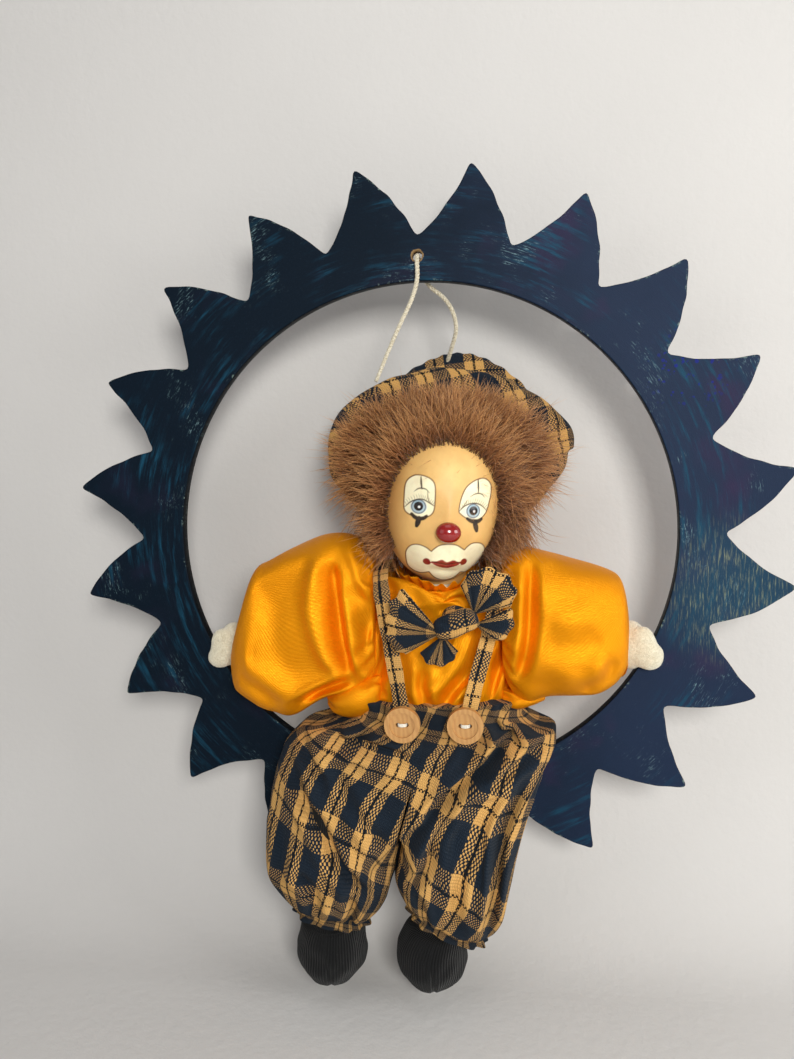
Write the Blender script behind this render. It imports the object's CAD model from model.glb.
"""The looks of a clown puppet that sits in a painted sun ring and hangs from it by a looped cord.

Soft pieces are built in millimetres about the ring's centre: x to the viewer's right, y away from
the viewer, and "rise", the height above the ring's centre. Left and right are the viewer's.
"""
import math

import bpy
import numpy as np
from mathutils import Matrix, Vector


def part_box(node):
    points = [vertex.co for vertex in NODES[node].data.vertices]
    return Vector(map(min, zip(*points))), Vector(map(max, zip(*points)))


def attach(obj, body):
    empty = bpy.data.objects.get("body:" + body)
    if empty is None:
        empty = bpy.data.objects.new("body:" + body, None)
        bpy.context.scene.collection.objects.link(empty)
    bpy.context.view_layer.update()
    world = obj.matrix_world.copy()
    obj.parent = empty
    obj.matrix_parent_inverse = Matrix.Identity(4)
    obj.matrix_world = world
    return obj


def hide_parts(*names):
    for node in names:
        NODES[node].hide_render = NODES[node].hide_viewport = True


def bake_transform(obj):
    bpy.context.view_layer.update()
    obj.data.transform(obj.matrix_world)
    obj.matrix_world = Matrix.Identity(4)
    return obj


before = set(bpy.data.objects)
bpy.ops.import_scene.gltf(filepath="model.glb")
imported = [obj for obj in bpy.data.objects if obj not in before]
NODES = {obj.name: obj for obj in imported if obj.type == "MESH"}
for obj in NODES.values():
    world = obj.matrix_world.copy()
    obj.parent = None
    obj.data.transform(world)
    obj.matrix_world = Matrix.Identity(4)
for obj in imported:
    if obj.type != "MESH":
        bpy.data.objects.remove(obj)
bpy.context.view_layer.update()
RING_LOW, RING_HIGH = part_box("sun_ring")
RING_CENTRE = (RING_LOW + RING_HIGH) / 2
MM = 0.001
ROOT, HEAD, LEFT_LEG, RIGHT_LEG = "ring_and_body", "head", "left_leg", "right_leg"


# ---------------------------------------------------------------- points and meshes


def row_frame(points):
    """Millimetres about the ring's centre, as metres in the row frame."""
    return np.asarray(points, float) * MM + np.array(RING_CENTRE)


def millimetres(place):
    """A place in metres in the row frame, as millimetres about the ring's centre."""
    return (np.asarray(place, float) - np.array(RING_CENTRE)) / MM


def add_mesh(name, points, faces, uv=None, material=None):
    """A mesh object of numpy points in millimetres; uv is one pair of metres for each face corner."""
    faces = np.asarray(faces)
    count, corners = faces.shape
    mesh = bpy.data.meshes.new(name)
    mesh.vertices.add(len(points))
    mesh.vertices.foreach_set("co", row_frame(points).astype(np.float32).ravel())
    mesh.loops.add(count * corners)
    mesh.loops.foreach_set("vertex_index", faces.astype(np.int32).ravel())
    mesh.polygons.add(count)
    mesh.polygons.foreach_set("loop_start", np.arange(0, count * corners, corners, dtype=np.int32))
    mesh.update(calc_edges=True)
    if uv is not None:
        layer = mesh.uv_layers.new(name="cloth")
        layer.data.foreach_set("uv", np.asarray(uv, np.float32).ravel())
    mesh.polygons.foreach_set("use_smooth", np.full(count, True))
    obj = bpy.data.objects.new(name, mesh)
    bpy.context.scene.collection.objects.link(obj)
    if material is not None:
        mesh.materials.append(material)
    return obj


def paint_points(obj, name, colours):
    """Keeps a colour (n by 3 or 4) or a number (n) at each point of obj, for its material."""
    colours = np.asarray(colours, np.float32)
    if colours.ndim == 1:
        kept = obj.data.attributes.new(name, "FLOAT", "POINT")
        kept.data.foreach_set("value", colours)
        return
    kept = obj.data.color_attributes.new(name, "FLOAT_COLOR", "POINT")
    rgba = np.ones((len(colours), 4), np.float32)
    rgba[:, : colours.shape[1]] = colours
    kept.data.foreach_set("color", rgba.ravel())


def keep_shape(obj):
    """Makes the shape that obj's modifiers give its own mesh, and takes the modifiers away."""
    shape = obj.evaluated_get(bpy.context.evaluated_depsgraph_get())
    obj.data = bpy.data.meshes.new_from_object(shape)
    obj.modifiers.clear()
    return obj


def weld(obj, distance=1e-6):
    """Joins points that lie in one place, such as a pole's."""
    obj.modifiers.new("weld", "WELD").merge_threshold = distance
    return keep_shape(obj)


def smooth_once(obj):
    """One level of subdivision, kept in the mesh."""
    obj.modifiers.new("smooth", "SUBSURF").levels = 1
    return keep_shape(obj)


def grid_faces(rows, columns):
    """The quads of a grid of points whose last column meets its first, and the row and column, not
    wrapped, of each quad's corners."""
    row, column = np.meshgrid(np.arange(rows - 1), np.arange(columns), indexing="ij")
    corners = ((row, column), (row, column + 1), (row + 1, column + 1), (row + 1, column))
    index = np.stack([r * columns + c % columns for r, c in corners], -1).reshape(-1, 4)
    at = np.stack([np.stack([r, c], -1) for r, c in corners], -2).reshape(-1, 4, 2)
    return index, at


def through(stations, count):
    """count rows of numbers that run smoothly through the stations."""
    s = np.asarray(stations, float)
    s = np.vstack([2 * s[0] - s[1], s, 2 * s[-1] - s[-2]])
    t = np.linspace(0, len(s) - 3, count)
    i = np.minimum(t.astype(int), len(s) - 4)
    f = (t - i)[:, None]
    a, b, c, d = (s[i + k] for k in range(4))
    return 0.5 * (2 * b + (c - a) * f + (2 * a - 5 * b + 4 * c - d) * f**2 + (3 * b - a - 3 * c + d) * f**3)


def closed_through(points, each):
    """A smooth closed outline through the points, with each samples for every point."""
    p = list(points)
    line = through([*p[-2:], *p, *p[:3]], (len(p) + 4) * each + 1)
    return line[2 * each : (len(p) + 2) * each]


def waves(points, length, seed):
    """Smooth seeded noise of about -1 to 1, with bumps about as long as length."""
    count = 14
    draw = np.random.default_rng(seed)
    total = np.zeros(len(points))
    for _ in range(count):
        way = draw.normal(size=3)
        way *= draw.uniform(0.7, 1.4) * 2 * math.pi / length / np.linalg.norm(way)
        total += np.sin(np.asarray(points) @ way + draw.uniform(0, 2 * math.pi))
    return total / math.sqrt(count)


def from_path(flat, path):
    """The distance of 2-D points from a path, and how far along it, from 0 to 1, the nearest place is."""
    flat, path = np.asarray(flat, float), np.asarray(path, float)
    lengths = np.linalg.norm(np.diff(path, axis=0), axis=1)
    before = np.concatenate([[0], np.cumsum(lengths)])
    best, along = np.full(len(flat), 1e9), np.zeros(len(flat))
    for k, (a, b) in enumerate(zip(path[:-1], path[1:])):
        t = np.clip((flat - a) @ (b - a) / max(lengths[k] ** 2, 1e-12), 0, 1)
        d = np.linalg.norm(flat - a - t[:, None] * (b - a), axis=1)
        near = d < best
        best[near] = d[near]
        along[near] = ((before[k] + t * lengths[k]) / before[-1])[near]
    return best, along


def ease(value, low, high):
    """0 up to low, 1 from high, and smooth between."""
    t = np.clip((value - low) / (high - low), 0, 1)
    return t * t * (3 - 2 * t)


def loft(stations, rows, columns, across=(1, 0, 0), over=(0, 1, 0), square=2.0):
    """Rings of points through stations of (x, y, rise, half size across, half size over). The first
    column faces the viewer's side of the section; square above 2 makes the section boxier."""
    s = through(stations, rows)
    turn = np.arange(columns) / columns * 2 * math.pi
    c, d = np.sin(turn), -np.cos(turn)
    c, d = (np.sign(v) * np.abs(v) ** (2 / square) for v in (c, d))
    points = s[:, None, :3] + s[:, None, 3:4] * c[None, :, None] * np.array(across, float)
    points = points + s[:, None, 4:5] * d[None, :, None] * np.array(over, float)
    return points


def frames(path, closed=False):
    """Two directions square to a path at each of its points, turning as little as they can."""
    path = np.asarray(path, float)
    if closed:
        along = np.roll(path, -1, 0) - np.roll(path, 1, 0)
    else:
        along = np.gradient(path, axis=0)
    along /= np.linalg.norm(along, axis=1)[:, None]
    side = np.cross(along[0], (0.0, 0.0, 1.0))
    if np.linalg.norm(side) < 0.1:
        side = np.cross(along[0], (0.0, 1.0, 0.0))
    sides = []
    for t in along:
        side = side - (side @ t) * t
        side = side / np.linalg.norm(side)
        sides.append(side)
    sides = np.array(sides)
    return along, sides, np.cross(along, sides)


def tube(path, radius, sides, closed=False):
    """The points and faces of a round tube along a path. An open tube's ends are capped."""
    path = np.asarray(path, float)
    _, side, up = frames(path, closed)
    turn = np.arange(sides) / sides * 2 * math.pi
    radius = np.broadcast_to(np.asarray(radius, float), (len(path),))
    ring = side[:, None] * np.cos(turn)[None, :, None] + up[:, None] * np.sin(turn)[None, :, None]
    points = (path[:, None] + ring * radius[:, None, None]).reshape(-1, 3)
    if closed:
        return points, grid_faces(len(path) + 1, sides)[0] % (len(path) * sides)
    faces = grid_faces(len(path), sides)[0]
    ends = [path[0], path[-1]]
    points = np.vstack([points, ends])
    first, last = len(points) - 2, len(points) - 1
    top = (len(path) - 1) * sides
    k = np.arange(sides)
    near = np.stack([np.full(sides, first), (k + 1) % sides, k, k], -1)
    far = np.stack([np.full(sides, last), top + k, top + (k + 1) % sides, top + (k + 1) % sides], -1)
    return points, faces, np.vstack([near, far])[:, :3]


def add_tubes(name, paths, radius, sides, material, closed=False):
    """One object of several tubes; quads and end caps share it."""
    mesh_points, quads, caps, base = [], [], [], 0
    for path in paths:
        made = tube(path, radius, sides, closed)
        mesh_points.append(made[0])
        quads.append(made[1] + base)
        if not closed:
            caps.append(made[2] + base)
        base += len(made[0])
    quads = np.vstack(quads)
    if closed:
        return add_mesh(name, np.vstack(mesh_points), quads, material=material)
    triangles = np.vstack([quads[:, [0, 1, 2]], quads[:, [0, 2, 3]], *caps])
    return add_mesh(name, np.vstack(mesh_points), triangles, material=material)


# ---------------------------------------------------------------- materials


def srgb(red, green, blue):
    """A colour given as 0 to 255, in the linear numbers that shaders use."""
    parts = [v / 255 for v in (red, green, blue)]
    return (*(v / 12.92 if v <= 0.04045 else ((v + 0.055) / 1.055) ** 2.4 for v in parts), 1.0)


class Finish:
    """A procedural material, wired up one node at a time."""

    def __init__(self, name, **shader):
        self.material = bpy.data.materials.new(name)
        self.material.use_nodes = True
        self.tree = self.material.node_tree
        self.shader = self.tree.nodes["Principled BSDF"]
        self.wear(**shader)

    def feed(self, socket, value):
        if isinstance(value, bpy.types.NodeSocket):
            self.tree.links.new(value, socket)
        else:
            socket.default_value = value

    def add(self, kind, inputs, output=0, **settings):
        made = self.tree.nodes.new("ShaderNode" + kind)
        for key, value in settings.items():
            setattr(made, key, value)
        for key, value in inputs.items():
            self.feed(made.inputs[key], value)
        return made.outputs[output]

    def place(self, kind="Object"):
        return self.add("TexCoord", {}, kind)

    def math(self, operation, first, second=0.0):
        return self.add("Math", {0: first, 1: second}, operation=operation)

    def times(self, first, second):
        return self.math("MULTIPLY", first, second)

    def plus(self, first, second):
        return self.math("ADD", first, second)

    def mix(self, factor, first, second, blend="MIX"):
        return self.add("Mix", {0: factor, 6: first, 7: second}, 2, data_type="RGBA", blend_type=blend)

    def tint(self, base, cover, strength, colour):
        """base, with colour laid over it where cover is high."""
        return self.mix(self.times(cover, strength), base, colour)

    def stretch(self, where, scale, turn=(0.0, 0.0, 0.0)):
        return self.add("Mapping", {"Vector": where, "Scale": scale, "Rotation": turn})

    def noise(self, where, scale, detail, roughness=0.55, distortion=0.0):
        values = {"Vector": where, "Scale": scale, "Detail": detail, "Roughness": roughness}
        return self.add("TexNoise", {**values, "Distortion": distortion})

    def step(self, value, low, high):
        return self.add("MapRange", {"Value": value, "From Min": low, "From Max": high},
                        interpolation_type="SMOOTHSTEP")

    def kept(self, name, output="Color"):
        return self.add("Attribute", {}, output, attribute_name=name)

    def bump(self, height, distance):
        return self.add("Bump", {"Height": height, "Distance": distance, "Strength": 1.0})

    def wear(self, **shader):
        for socket, value in shader.items():
            self.feed(self.shader.inputs[socket.replace("_", " ")], value)
        return self.material


def near_place(finish, where, x, rise, radius):
    """1 near a place on the ring's face, fading to 0 at radius; millimetres from the ring's centre."""
    centre = row_frame((x, 0, rise))
    offset = finish.add("VectorMath", {0: where, 1: tuple(centre)}, operation="SUBTRACT")
    offset = finish.add("VectorMath", {0: offset, 1: (1.0, 0.0, 1.0)}, operation="MULTIPLY")
    distance = finish.add("VectorMath", {0: offset}, "Value", operation="LENGTH")
    return finish.step(distance, radius * MM, radius * MM * 0.35)


def sun_paint():
    """Navy and slate craft paint, brushed round the ring over teal, with cream wear at the edges."""
    f = Finish("sun_paint", IOR=1.46, Specular_IOR_Level=0.12)
    where, brushed = f.place(), f.place("UV")
    across = f.add("SeparateXYZ", {"Vector": where})
    cloud = f.noise(where, 22.0, 4.0, 0.6)
    toward = f.plus(across, f.times(f.math("SUBTRACT", cloud, 0.5), 0.12))
    lighter = f.step(toward, -0.03, 0.1)
    base = f.mix(lighter, srgb(2, 18, 32), srgb(28, 42, 66))
    violet = f.step(f.noise(where, 31.0, 3.0, 0.6), 0.52, 0.7)
    base = f.tint(base, violet, f.plus(f.times(lighter, 0.55), 0.18), srgb(46, 36, 66))
    streak = f.noise(f.stretch(brushed, (45.0, 420.0, 1.0)), 1.0, 5.0, 0.65)
    teal = f.times(f.step(streak, 0.48, 0.7), f.step(f.noise(where, 34.0, 3.0), 0.42, 0.62))
    base = f.tint(base, teal, 0.9, srgb(18, 68, 92))
    grain = f.noise(f.stretch(brushed, (900.0, 2600.0, 1.0)), 1.0, 3.0, 0.7)
    base = f.tint(base, f.step(grain, 0.56, 0.78), 0.16, srgb(60, 82, 108))
    rubbed = f.step(f.noise(where, 42.0, 4.0, 0.65), 0.53, 0.67)
    scratch = f.noise(f.stretch(brushed, (260.0, 1900.0, 1.0)), 1.0, 4.0, 0.75, 0.4)
    specks = f.times(f.step(scratch, 0.55, 0.68), rubbed)
    base = f.tint(base, specks, 0.75, srgb(140, 178, 186))
    slant = f.stretch(where, (1500.0, 1.0, 150.0), (0.0, math.radians(42), 0.0))
    olive = f.step(f.noise(slant, 1.0, 4.0, 0.7), 0.5, 0.68)
    patch = near_place(f, where, 117, -22, 34)
    base = f.tint(base, patch, 0.55, srgb(30, 70, 92))
    base = f.tint(base, f.times(olive, patch), 0.62, srgb(142, 148, 116))
    flake = f.add("TexVoronoi", {"Vector": where, "Scale": 520.0, "Randomness": 1.0}, "Distance")
    flake = f.times(f.step(flake, 0.4, 0.3), f.step(f.noise(where, 300.0, 3.0), 0.5, 0.56))
    cobalt = f.times(flake, near_place(f, where, 99, 60, 19))
    base = f.tint(base, cobalt, 0.9, srgb(22, 34, 118))
    edge = f.kept("edge", "Fac")
    chips = f.times(f.step(edge, 0.0011, 0.0), f.step(f.noise(where, 620.0, 4.0, 0.7), 0.56, 0.62))
    chips = f.times(chips, f.step(f.noise(where, 55.0, 2.0), 0.5, 0.6))
    base = f.tint(base, chips, 0.85, srgb(128, 150, 142))
    hole = near_place(f, where, 0, 105.2, 3.4)
    ragged = f.step(f.plus(hole, f.times(f.noise(where, 900.0, 3.0), 0.6)), 0.62, 0.8)
    base = f.tint(base, ragged, 0.8, srgb(150, 120, 80))
    side = f.step(f.kept("side", "Fac"), 0.4, 0.6)
    base = f.tint(base, side, 0.85, srgb(11, 14, 18))
    rough = f.plus(f.times(grain, 0.3), 0.4)
    height = f.plus(f.times(streak, 0.5), f.times(grain, 0.5))
    return f.wear(Base_Color=base, Roughness=rough, Normal=f.bump(height, 0.00016))


def satin():
    """Golden-orange satin with warp-faced gloss across its fine threads."""
    f = Finish("orange_satin", Metallic=0.58, Anisotropic=0.5, Specular_IOR_Level=0.2)
    flat = f.place("UV")
    threads = f.noise(f.stretch(flat, (9000.0, 420.0, 1.0)), 1.0, 2.0, 0.6)
    twill = f.add("TexWave", {"Vector": flat, "Scale": 620.0, "Distortion": 0.0}, "Fac",
                  bands_direction="DIAGONAL")
    cloud = f.noise(f.place(), 40.0, 3.0)
    base = f.mix(cloud, srgb(232, 132, 0), srgb(244, 152, 2))
    base = f.tint(base, threads, 0.4, srgb(255, 190, 20))
    rough = f.plus(f.times(threads, 0.18), 0.35)
    height = f.plus(threads, f.times(twill, 0.4))
    return f.wear(Base_Color=base, Roughness=rough, Normal=f.bump(height, 0.00012))


WARP_REPEAT = 15.6 * MM
WEFT_REPEAT = 19.6 * MM
YARN = 0.66 * MM


def plaid():
    """A loose cotton plaid: pairs of straw stripes split by a black line, on navy, both ways."""
    f = Finish("woven_plaid", Roughness=0.9, Sheen_Weight=0.04, Specular_IOR_Level=0.12)
    flat = f.add("SeparateXYZ", {"Vector": f.place("UV")}).node
    wobble = f.times(f.math("SUBTRACT", f.noise(f.place("UV"), 300.0, 2.0), 0.5), 0.0005)
    ways = [f.plus(flat.outputs[k], wobble) for k in (0, 1)]
    straw, black, navy = srgb(232, 180, 104), srgb(5, 6, 8), srgb(15, 30, 45)
    colours = []
    for way, repeat, line, wide in zip(ways, (WARP_REPEAT, WEFT_REPEAT), (0.21, 0.205), (0.065, 0.045)):
        share = f.math("FRACT", f.math("DIVIDE", way, repeat))
        ramp = f.add("ValToRGB", {"Fac": share}).node
        ramp.color_ramp.interpolation = "CONSTANT"
        stops = ramp.color_ramp.elements
        stops[0].position, stops[0].color = 0.0, straw
        stops[1].position, stops[1].color = 2 * line + wide, navy
        for place, colour in ((line, black), (line + wide, straw)):
            stop = stops.new(place)
            stop.color = colour
        colours.append(ramp.outputs[0])
    turns = [f.times(way, math.pi / YARN) for way in ways]
    zigzag = f.times(f.math("PINGPONG", f.math("DIVIDE", ways[1], YARN * 3), 1.0), math.pi * 0.9)
    over = f.times(f.math("SINE", f.plus(turns[0], zigzag)), f.math("SINE", turns[1]))
    base = f.mix(1.0, colours[0], colours[1], "DARKEN")
    base = f.tint(base, f.step(over, -0.02, 0.14), 0.9, colours[0])
    base = f.tint(base, f.step(over, -0.3, -0.46), 0.7, colours[1])
    slub = f.noise(f.stretch(f.place("UV"), (2400.0, 260.0, 1.0)), 1.0, 3.0, 0.6)
    base = f.tint(base, slub, 0.1, srgb(110, 116, 120))
    dark = f.step(f.math("ABSOLUTE", over), 0.55, 0.05)
    base = f.tint(base, dark, 0.3, srgb(5, 6, 8))
    height = f.plus(f.math("ABSOLUTE", over), f.times(slub, 0.4))
    return f.wear(Base_Color=base, Normal=f.bump(height, 0.00022))


def head_paint():
    """Matt buff bisque under brushed features; colour and gloss are kept at the head's points."""
    f = Finish("painted_bisque", Subsurface_Weight=0.05, Subsurface_Scale=0.002, Specular_IOR_Level=0.45)
    where = f.place()
    mottle = f.noise(where, 260.0, 4.0, 0.6)
    tint = f.mix(f.times(f.step(mottle, 0.35, 0.75), 0.16), f.kept("paint"), srgb(188, 138, 78))
    rough = f.math("SUBTRACT", f.plus(f.times(mottle, 0.12), 0.42), f.kept("gloss", "Fac"))
    fine = f.noise(where, 1400.0, 3.0)
    return f.wear(Base_Color=tint, Roughness=rough, Normal=f.bump(fine, 0.00004))


def nose_paint():
    """Glossy dark red enamel."""
    f = Finish("red_enamel", Coat_Weight=0.9, Coat_Roughness=0.07, Roughness=0.22)
    cloud = f.noise(f.place(), 180.0, 3.0)
    return f.wear(Base_Color=f.mix(cloud, srgb(120, 8, 10), srgb(158, 20, 16)),
                  Normal=f.bump(cloud, 0.0001))


def fur():
    """Auburn pile whose colour, dark root to pale tip, is kept at the strands' points."""
    f = Finish("auburn_fur", Roughness=0.5, Sheen_Weight=0.1, Sheen_Roughness=0.4, Anisotropic=0.3)
    streak = f.noise(f.place(), 420.0, 3.0)
    return f.wear(Base_Color=f.mix(f.times(streak, 0.3), f.kept("shade"), srgb(206, 134, 72)))


def felt():
    """Cream wool felt with matted fibres."""
    f = Finish("cream_felt", Roughness=0.95, Sheen_Weight=0.6, Specular_IOR_Level=0.1)
    where = f.place()
    fibres = f.noise(where, 900.0, 5.0, 0.75, 1.4)
    base = f.mix(f.step(fibres, 0.3, 0.7), srgb(214, 204, 174), srgb(246, 240, 216))
    return f.wear(Base_Color=base, Normal=f.bump(fibres, 0.0006))


def stockinette():
    """Black fine-ribbed knit, a little dusty."""
    f = Finish("black_knit", Roughness=0.9, Sheen_Weight=0.08, Specular_IOR_Level=0.2)
    flat = f.place("UV")
    ribs = f.add("TexWave", {"Vector": flat, "Scale": 330.0, "Distortion": 0.6, "Detail": 1.0}, "Fac",
                 bands_direction="X")
    loops = f.noise(f.stretch(flat, (1600.0, 2600.0, 1.0)), 1.0, 3.0, 0.7)
    lint = f.step(f.noise(f.place(), 700.0, 4.0, 0.7), 0.62, 0.75)
    base = f.mix(ribs, srgb(12, 12, 13), srgb(20, 21, 22))
    base = f.tint(base, lint, 0.2, srgb(70, 70, 68))
    return f.wear(Base_Color=base, Normal=f.bump(f.plus(ribs, f.times(loops, 0.5)), 0.0003))


def button_wood():
    """Pale turned wood: growth rings across the blank and fine turning marks."""
    f = Finish("turned_wood", Roughness=0.5, Coat_Weight=0.15, Coat_Roughness=0.3)
    where = f.place()
    grain = f.add("TexWave", {"Vector": f.stretch(where, (1.0, 1.0, 0.35), (0.3, 0.2, 0.5)),
                              "Scale": 210.0, "Distortion": 5.0, "Detail": 3.0, "Detail Scale": 1.6}, "Fac")
    pores = f.noise(f.stretch(where, (700.0, 700.0, 5200.0)), 1.0, 3.0, 0.7)
    base = f.mix(grain, srgb(184, 134, 78), srgb(196, 148, 88))
    base = f.tint(base, f.step(pores, 0.55, 0.75), 0.3, srgb(150, 102, 56))
    return f.wear(Base_Color=base, Normal=f.bump(f.plus(grain, pores), 0.00003))


def woven(name, light, dark, pitch, roughness=0.9, gloss=0.2):
    """A plain weave or twisted yarn in one colour, with its threads pitch metres apart."""
    f = Finish(name, Roughness=roughness, Sheen_Weight=0.3, Specular_IOR_Level=gloss)
    where = f.place()
    threads = f.noise(f.stretch(where, (0.5 / pitch, 0.5 / pitch, 1.4 / pitch)), 1.0, 3.0, 0.7, 0.8)
    base = f.mix(f.step(threads, 0.3, 0.68), dark, light)
    return f.wear(Base_Color=base, Normal=f.bump(threads, pitch * 0.3))


def paper():
    """The plain pale card behind and under the puppet. It is seen from its lit side only."""
    f = Finish("pale_card", Roughness=0.9, Specular_IOR_Level=0.2)
    cloud = f.noise(f.place(), 7.0, 3.0)
    fibre = f.noise(f.place(), 260.0, 3.0)
    base = f.mix(cloud, srgb(205, 203, 201), srgb(216, 214, 212))
    f.wear(Base_Color=base, Normal=f.bump(fibre, 0.0002))
    clear = f.tree.nodes.new("ShaderNodeBsdfTransparent")
    behind = f.add("NewGeometry", {}, "Backfacing")
    either = f.add("MixShader", {0: behind, 1: f.shader.outputs[0], 2: clear.outputs[0]})
    f.feed(f.tree.nodes["Material Output"].inputs["Surface"], either)
    return f.material


SUN, SATIN, PLAID, BISQUE = sun_paint(), satin(), plaid(), head_paint()
ENAMEL, FUR, FELT, KNIT, WOOD = nose_paint(), fur(), felt(), stockinette(), button_wood()
MUSLIN = woven("muslin", srgb(228, 218, 196), srgb(196, 182, 156), 0.0004)
THREAD = woven("sewing_thread", srgb(246, 242, 230), srgb(206, 198, 180), 0.0002, 0.6, 0.4)
CORD = woven("twisted_cotton", srgb(240, 234, 214), srgb(150, 134, 98), 0.0003, 0.6, 0.35)
ELASTIC = woven("shirring_elastic", srgb(232, 226, 214), srgb(190, 184, 172), 0.0003)


# ---------------------------------------------------------------- camera, lights and backdrop


def make_camera():
    """The eye is 327 mm in front of the ring, a little to its right and above its centre."""
    data = bpy.data.cameras.new("camera")
    data.lens = 28.9
    data.sensor_width = 36
    data.clip_start = 0.01
    camera = bpy.data.objects.new("camera", data)
    yaw, pitch, roll = (math.radians(a) for a in (-7.25, -5.67, -1.3))
    level = Matrix.Rotation(math.pi / 2 + pitch, 4, "X")
    turn = Matrix.Rotation(-yaw, 4, "Z") @ level @ Matrix.Rotation(roll, 4, "Z")
    camera.matrix_world = Matrix.Translation(row_frame((31.45, -327.23, 34.94))) @ turn
    bpy.context.scene.collection.objects.link(camera)
    bpy.context.scene.camera = camera


def area_light(name, x, y, rise, size, power, tint):
    """A square soft light that faces the doll; its place is in millimetres."""
    data = bpy.data.lights.new(name, "AREA")
    data.size = size * MM
    data.energy = power
    data.color = tint
    light = bpy.data.objects.new(name, data)
    light.location = row_frame((x, y, rise))
    toward = Vector(row_frame((0, 0, -20))) - light.location
    light.rotation_euler = toward.to_track_quat("-Z", "Y").to_euler()
    bpy.context.scene.collection.objects.link(light)


WALL_Y = 42
FLOOR_RISE = -168.5


def make_studio():
    """A card wall that curves into the floor, a key light, a wash from the right and two weak fills."""
    bend = 70
    drop = FLOOR_RISE + bend
    profile = [(WALL_Y, 900), (WALL_Y, 300), (WALL_Y, drop + 40)]
    for k in range(13):
        angle = k / 12 * math.pi / 2
        profile.append((WALL_Y - bend + bend * math.cos(angle), drop - bend * math.sin(angle)))
    profile += [(WALL_Y - bend - 60, FLOOR_RISE), (-1500, FLOOR_RISE)]
    points = [(x, y, rise) for y, rise in profile for x in (-1300, 1300)]
    faces = [(2 * k + 2, 2 * k + 3, 2 * k + 1, 2 * k) for k in range(len(profile) - 1)]
    card = add_mesh("card_backdrop", np.array(points), np.array(faces), material=paper())
    area_light("key", 190, -680, 190, 190, 3.7, (1.0, 0.985, 0.94))
    area_light("wash", 760, -330, 160, 380, 2.7, (1.0, 0.99, 0.96))
    area_light("fill", -420, -520, 160, 420, 0.4, (0.97, 0.98, 1.0))
    area_light("top", 60, -200, 620, 380, 0.4, (1.0, 0.99, 0.97))
    world = bpy.data.worlds.new("studio")
    world.use_nodes = True
    world.node_tree.nodes["Background"].inputs["Color"].default_value = (0.86, 0.88, 0.92, 1.0)
    world.node_tree.nodes["Background"].inputs["Strength"].default_value = 0.2
    bpy.context.scene.world = world
    bpy.context.scene.view_settings.view_transform = "Standard"


# ---------------------------------------------------------------- hanging cord

CORD_ROUTE = [
    (-0.0156, -0.0094, -0.0465), (-0.0086, -0.0072, -0.0295), (0.0005, -0.0050, -0.0120),
    (0.0000, -0.0048, 0.0003), (0.0000, 0.0048, 0.0003), (0.0020, 0.0052, -0.0090),
    (0.0108, 0.0065, -0.0152), (0.0144, 0.0088, -0.0250), (0.0110, 0.0135, -0.0340),
    (0.0086, 0.0190, -0.0396),
]


def make_cord():
    """Three cotton strands twisted round the route's own line, through the ring's hole and back."""
    data = bpy.data.curves.new("cord_route", "CURVE")
    data.dimensions = "3D"
    data.resolution_u = 24
    spline = data.splines.new("NURBS")
    spline.points.add(len(CORD_ROUTE) - 1)
    for point, place in zip(spline.points, CORD_ROUTE):
        point.co = (*place, 1.0)
    spline.order_u = 3
    spline.use_endpoint_u = True
    route = bpy.data.objects.new("cord_route", data)
    bpy.context.scene.collection.objects.link(route)
    bpy.context.view_layer.update()
    shape = route.evaluated_get(bpy.context.evaluated_depsgraph_get())
    line = bpy.data.meshes.new_from_object(shape)
    path = np.array([v.co for v in line.vertices], float)
    bpy.data.objects.remove(route)
    route_mm = millimetres(path)
    _, side, up = frames(route_mm)
    run = np.concatenate([[0], np.cumsum(np.linalg.norm(np.diff(route_mm, axis=0), axis=1))])
    strand, lay = 0.43, 4.2
    strands = []
    for k in range(3):
        turn = run / lay * 2 * math.pi + k * 2 * math.pi / 3
        strands.append(route_mm + strand * (side * np.cos(turn)[:, None] + up * np.sin(turn)[:, None]))
    cord = add_tubes("twisted_cord", strands, strand * 1.08, 10, CORD)
    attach(cord, ROOT)
    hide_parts("hanging_cord")


make_camera()
make_studio()
make_cord()

# ---------------------------------------------------------------- painted sun ring

TEETH = 20
RING_INNER, TOOTH_VALLEY, TOOTH_TIP, HALF_THICK = 96.0, 112.0, 140.0, 2.5
EDGE_ROUND = 0.45


def polar(radius, degrees):
    return np.array([radius * math.cos(math.radians(degrees)), radius * math.sin(math.radians(degrees))])


def arc_through(start, middle, end, count):
    """count points of the arc from start through middle, without its end."""
    (ax, ay), (bx, by), (cx, cy) = start, middle, end
    d = 2 * (ax * (by - cy) + bx * (cy - ay) + cx * (ay - by))
    squares = [p @ p for p in (start, middle, end)]
    x = (squares[0] * (by - cy) + squares[1] * (cy - ay) + squares[2] * (ay - by)) / d
    y = (squares[0] * (cx - bx) + squares[1] * (ax - cx) + squares[2] * (bx - ax)) / d
    centre = np.array([x, y])
    first, last = (math.atan2(*(p - centre)[::-1]) for p in (start, end))
    sweep = (last - first + math.pi) % (2 * math.pi) - math.pi
    turn = first + np.arange(count) / count * sweep
    return centre + np.linalg.norm(start - centre) * np.stack([np.cos(turn), np.sin(turn)], -1)


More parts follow.
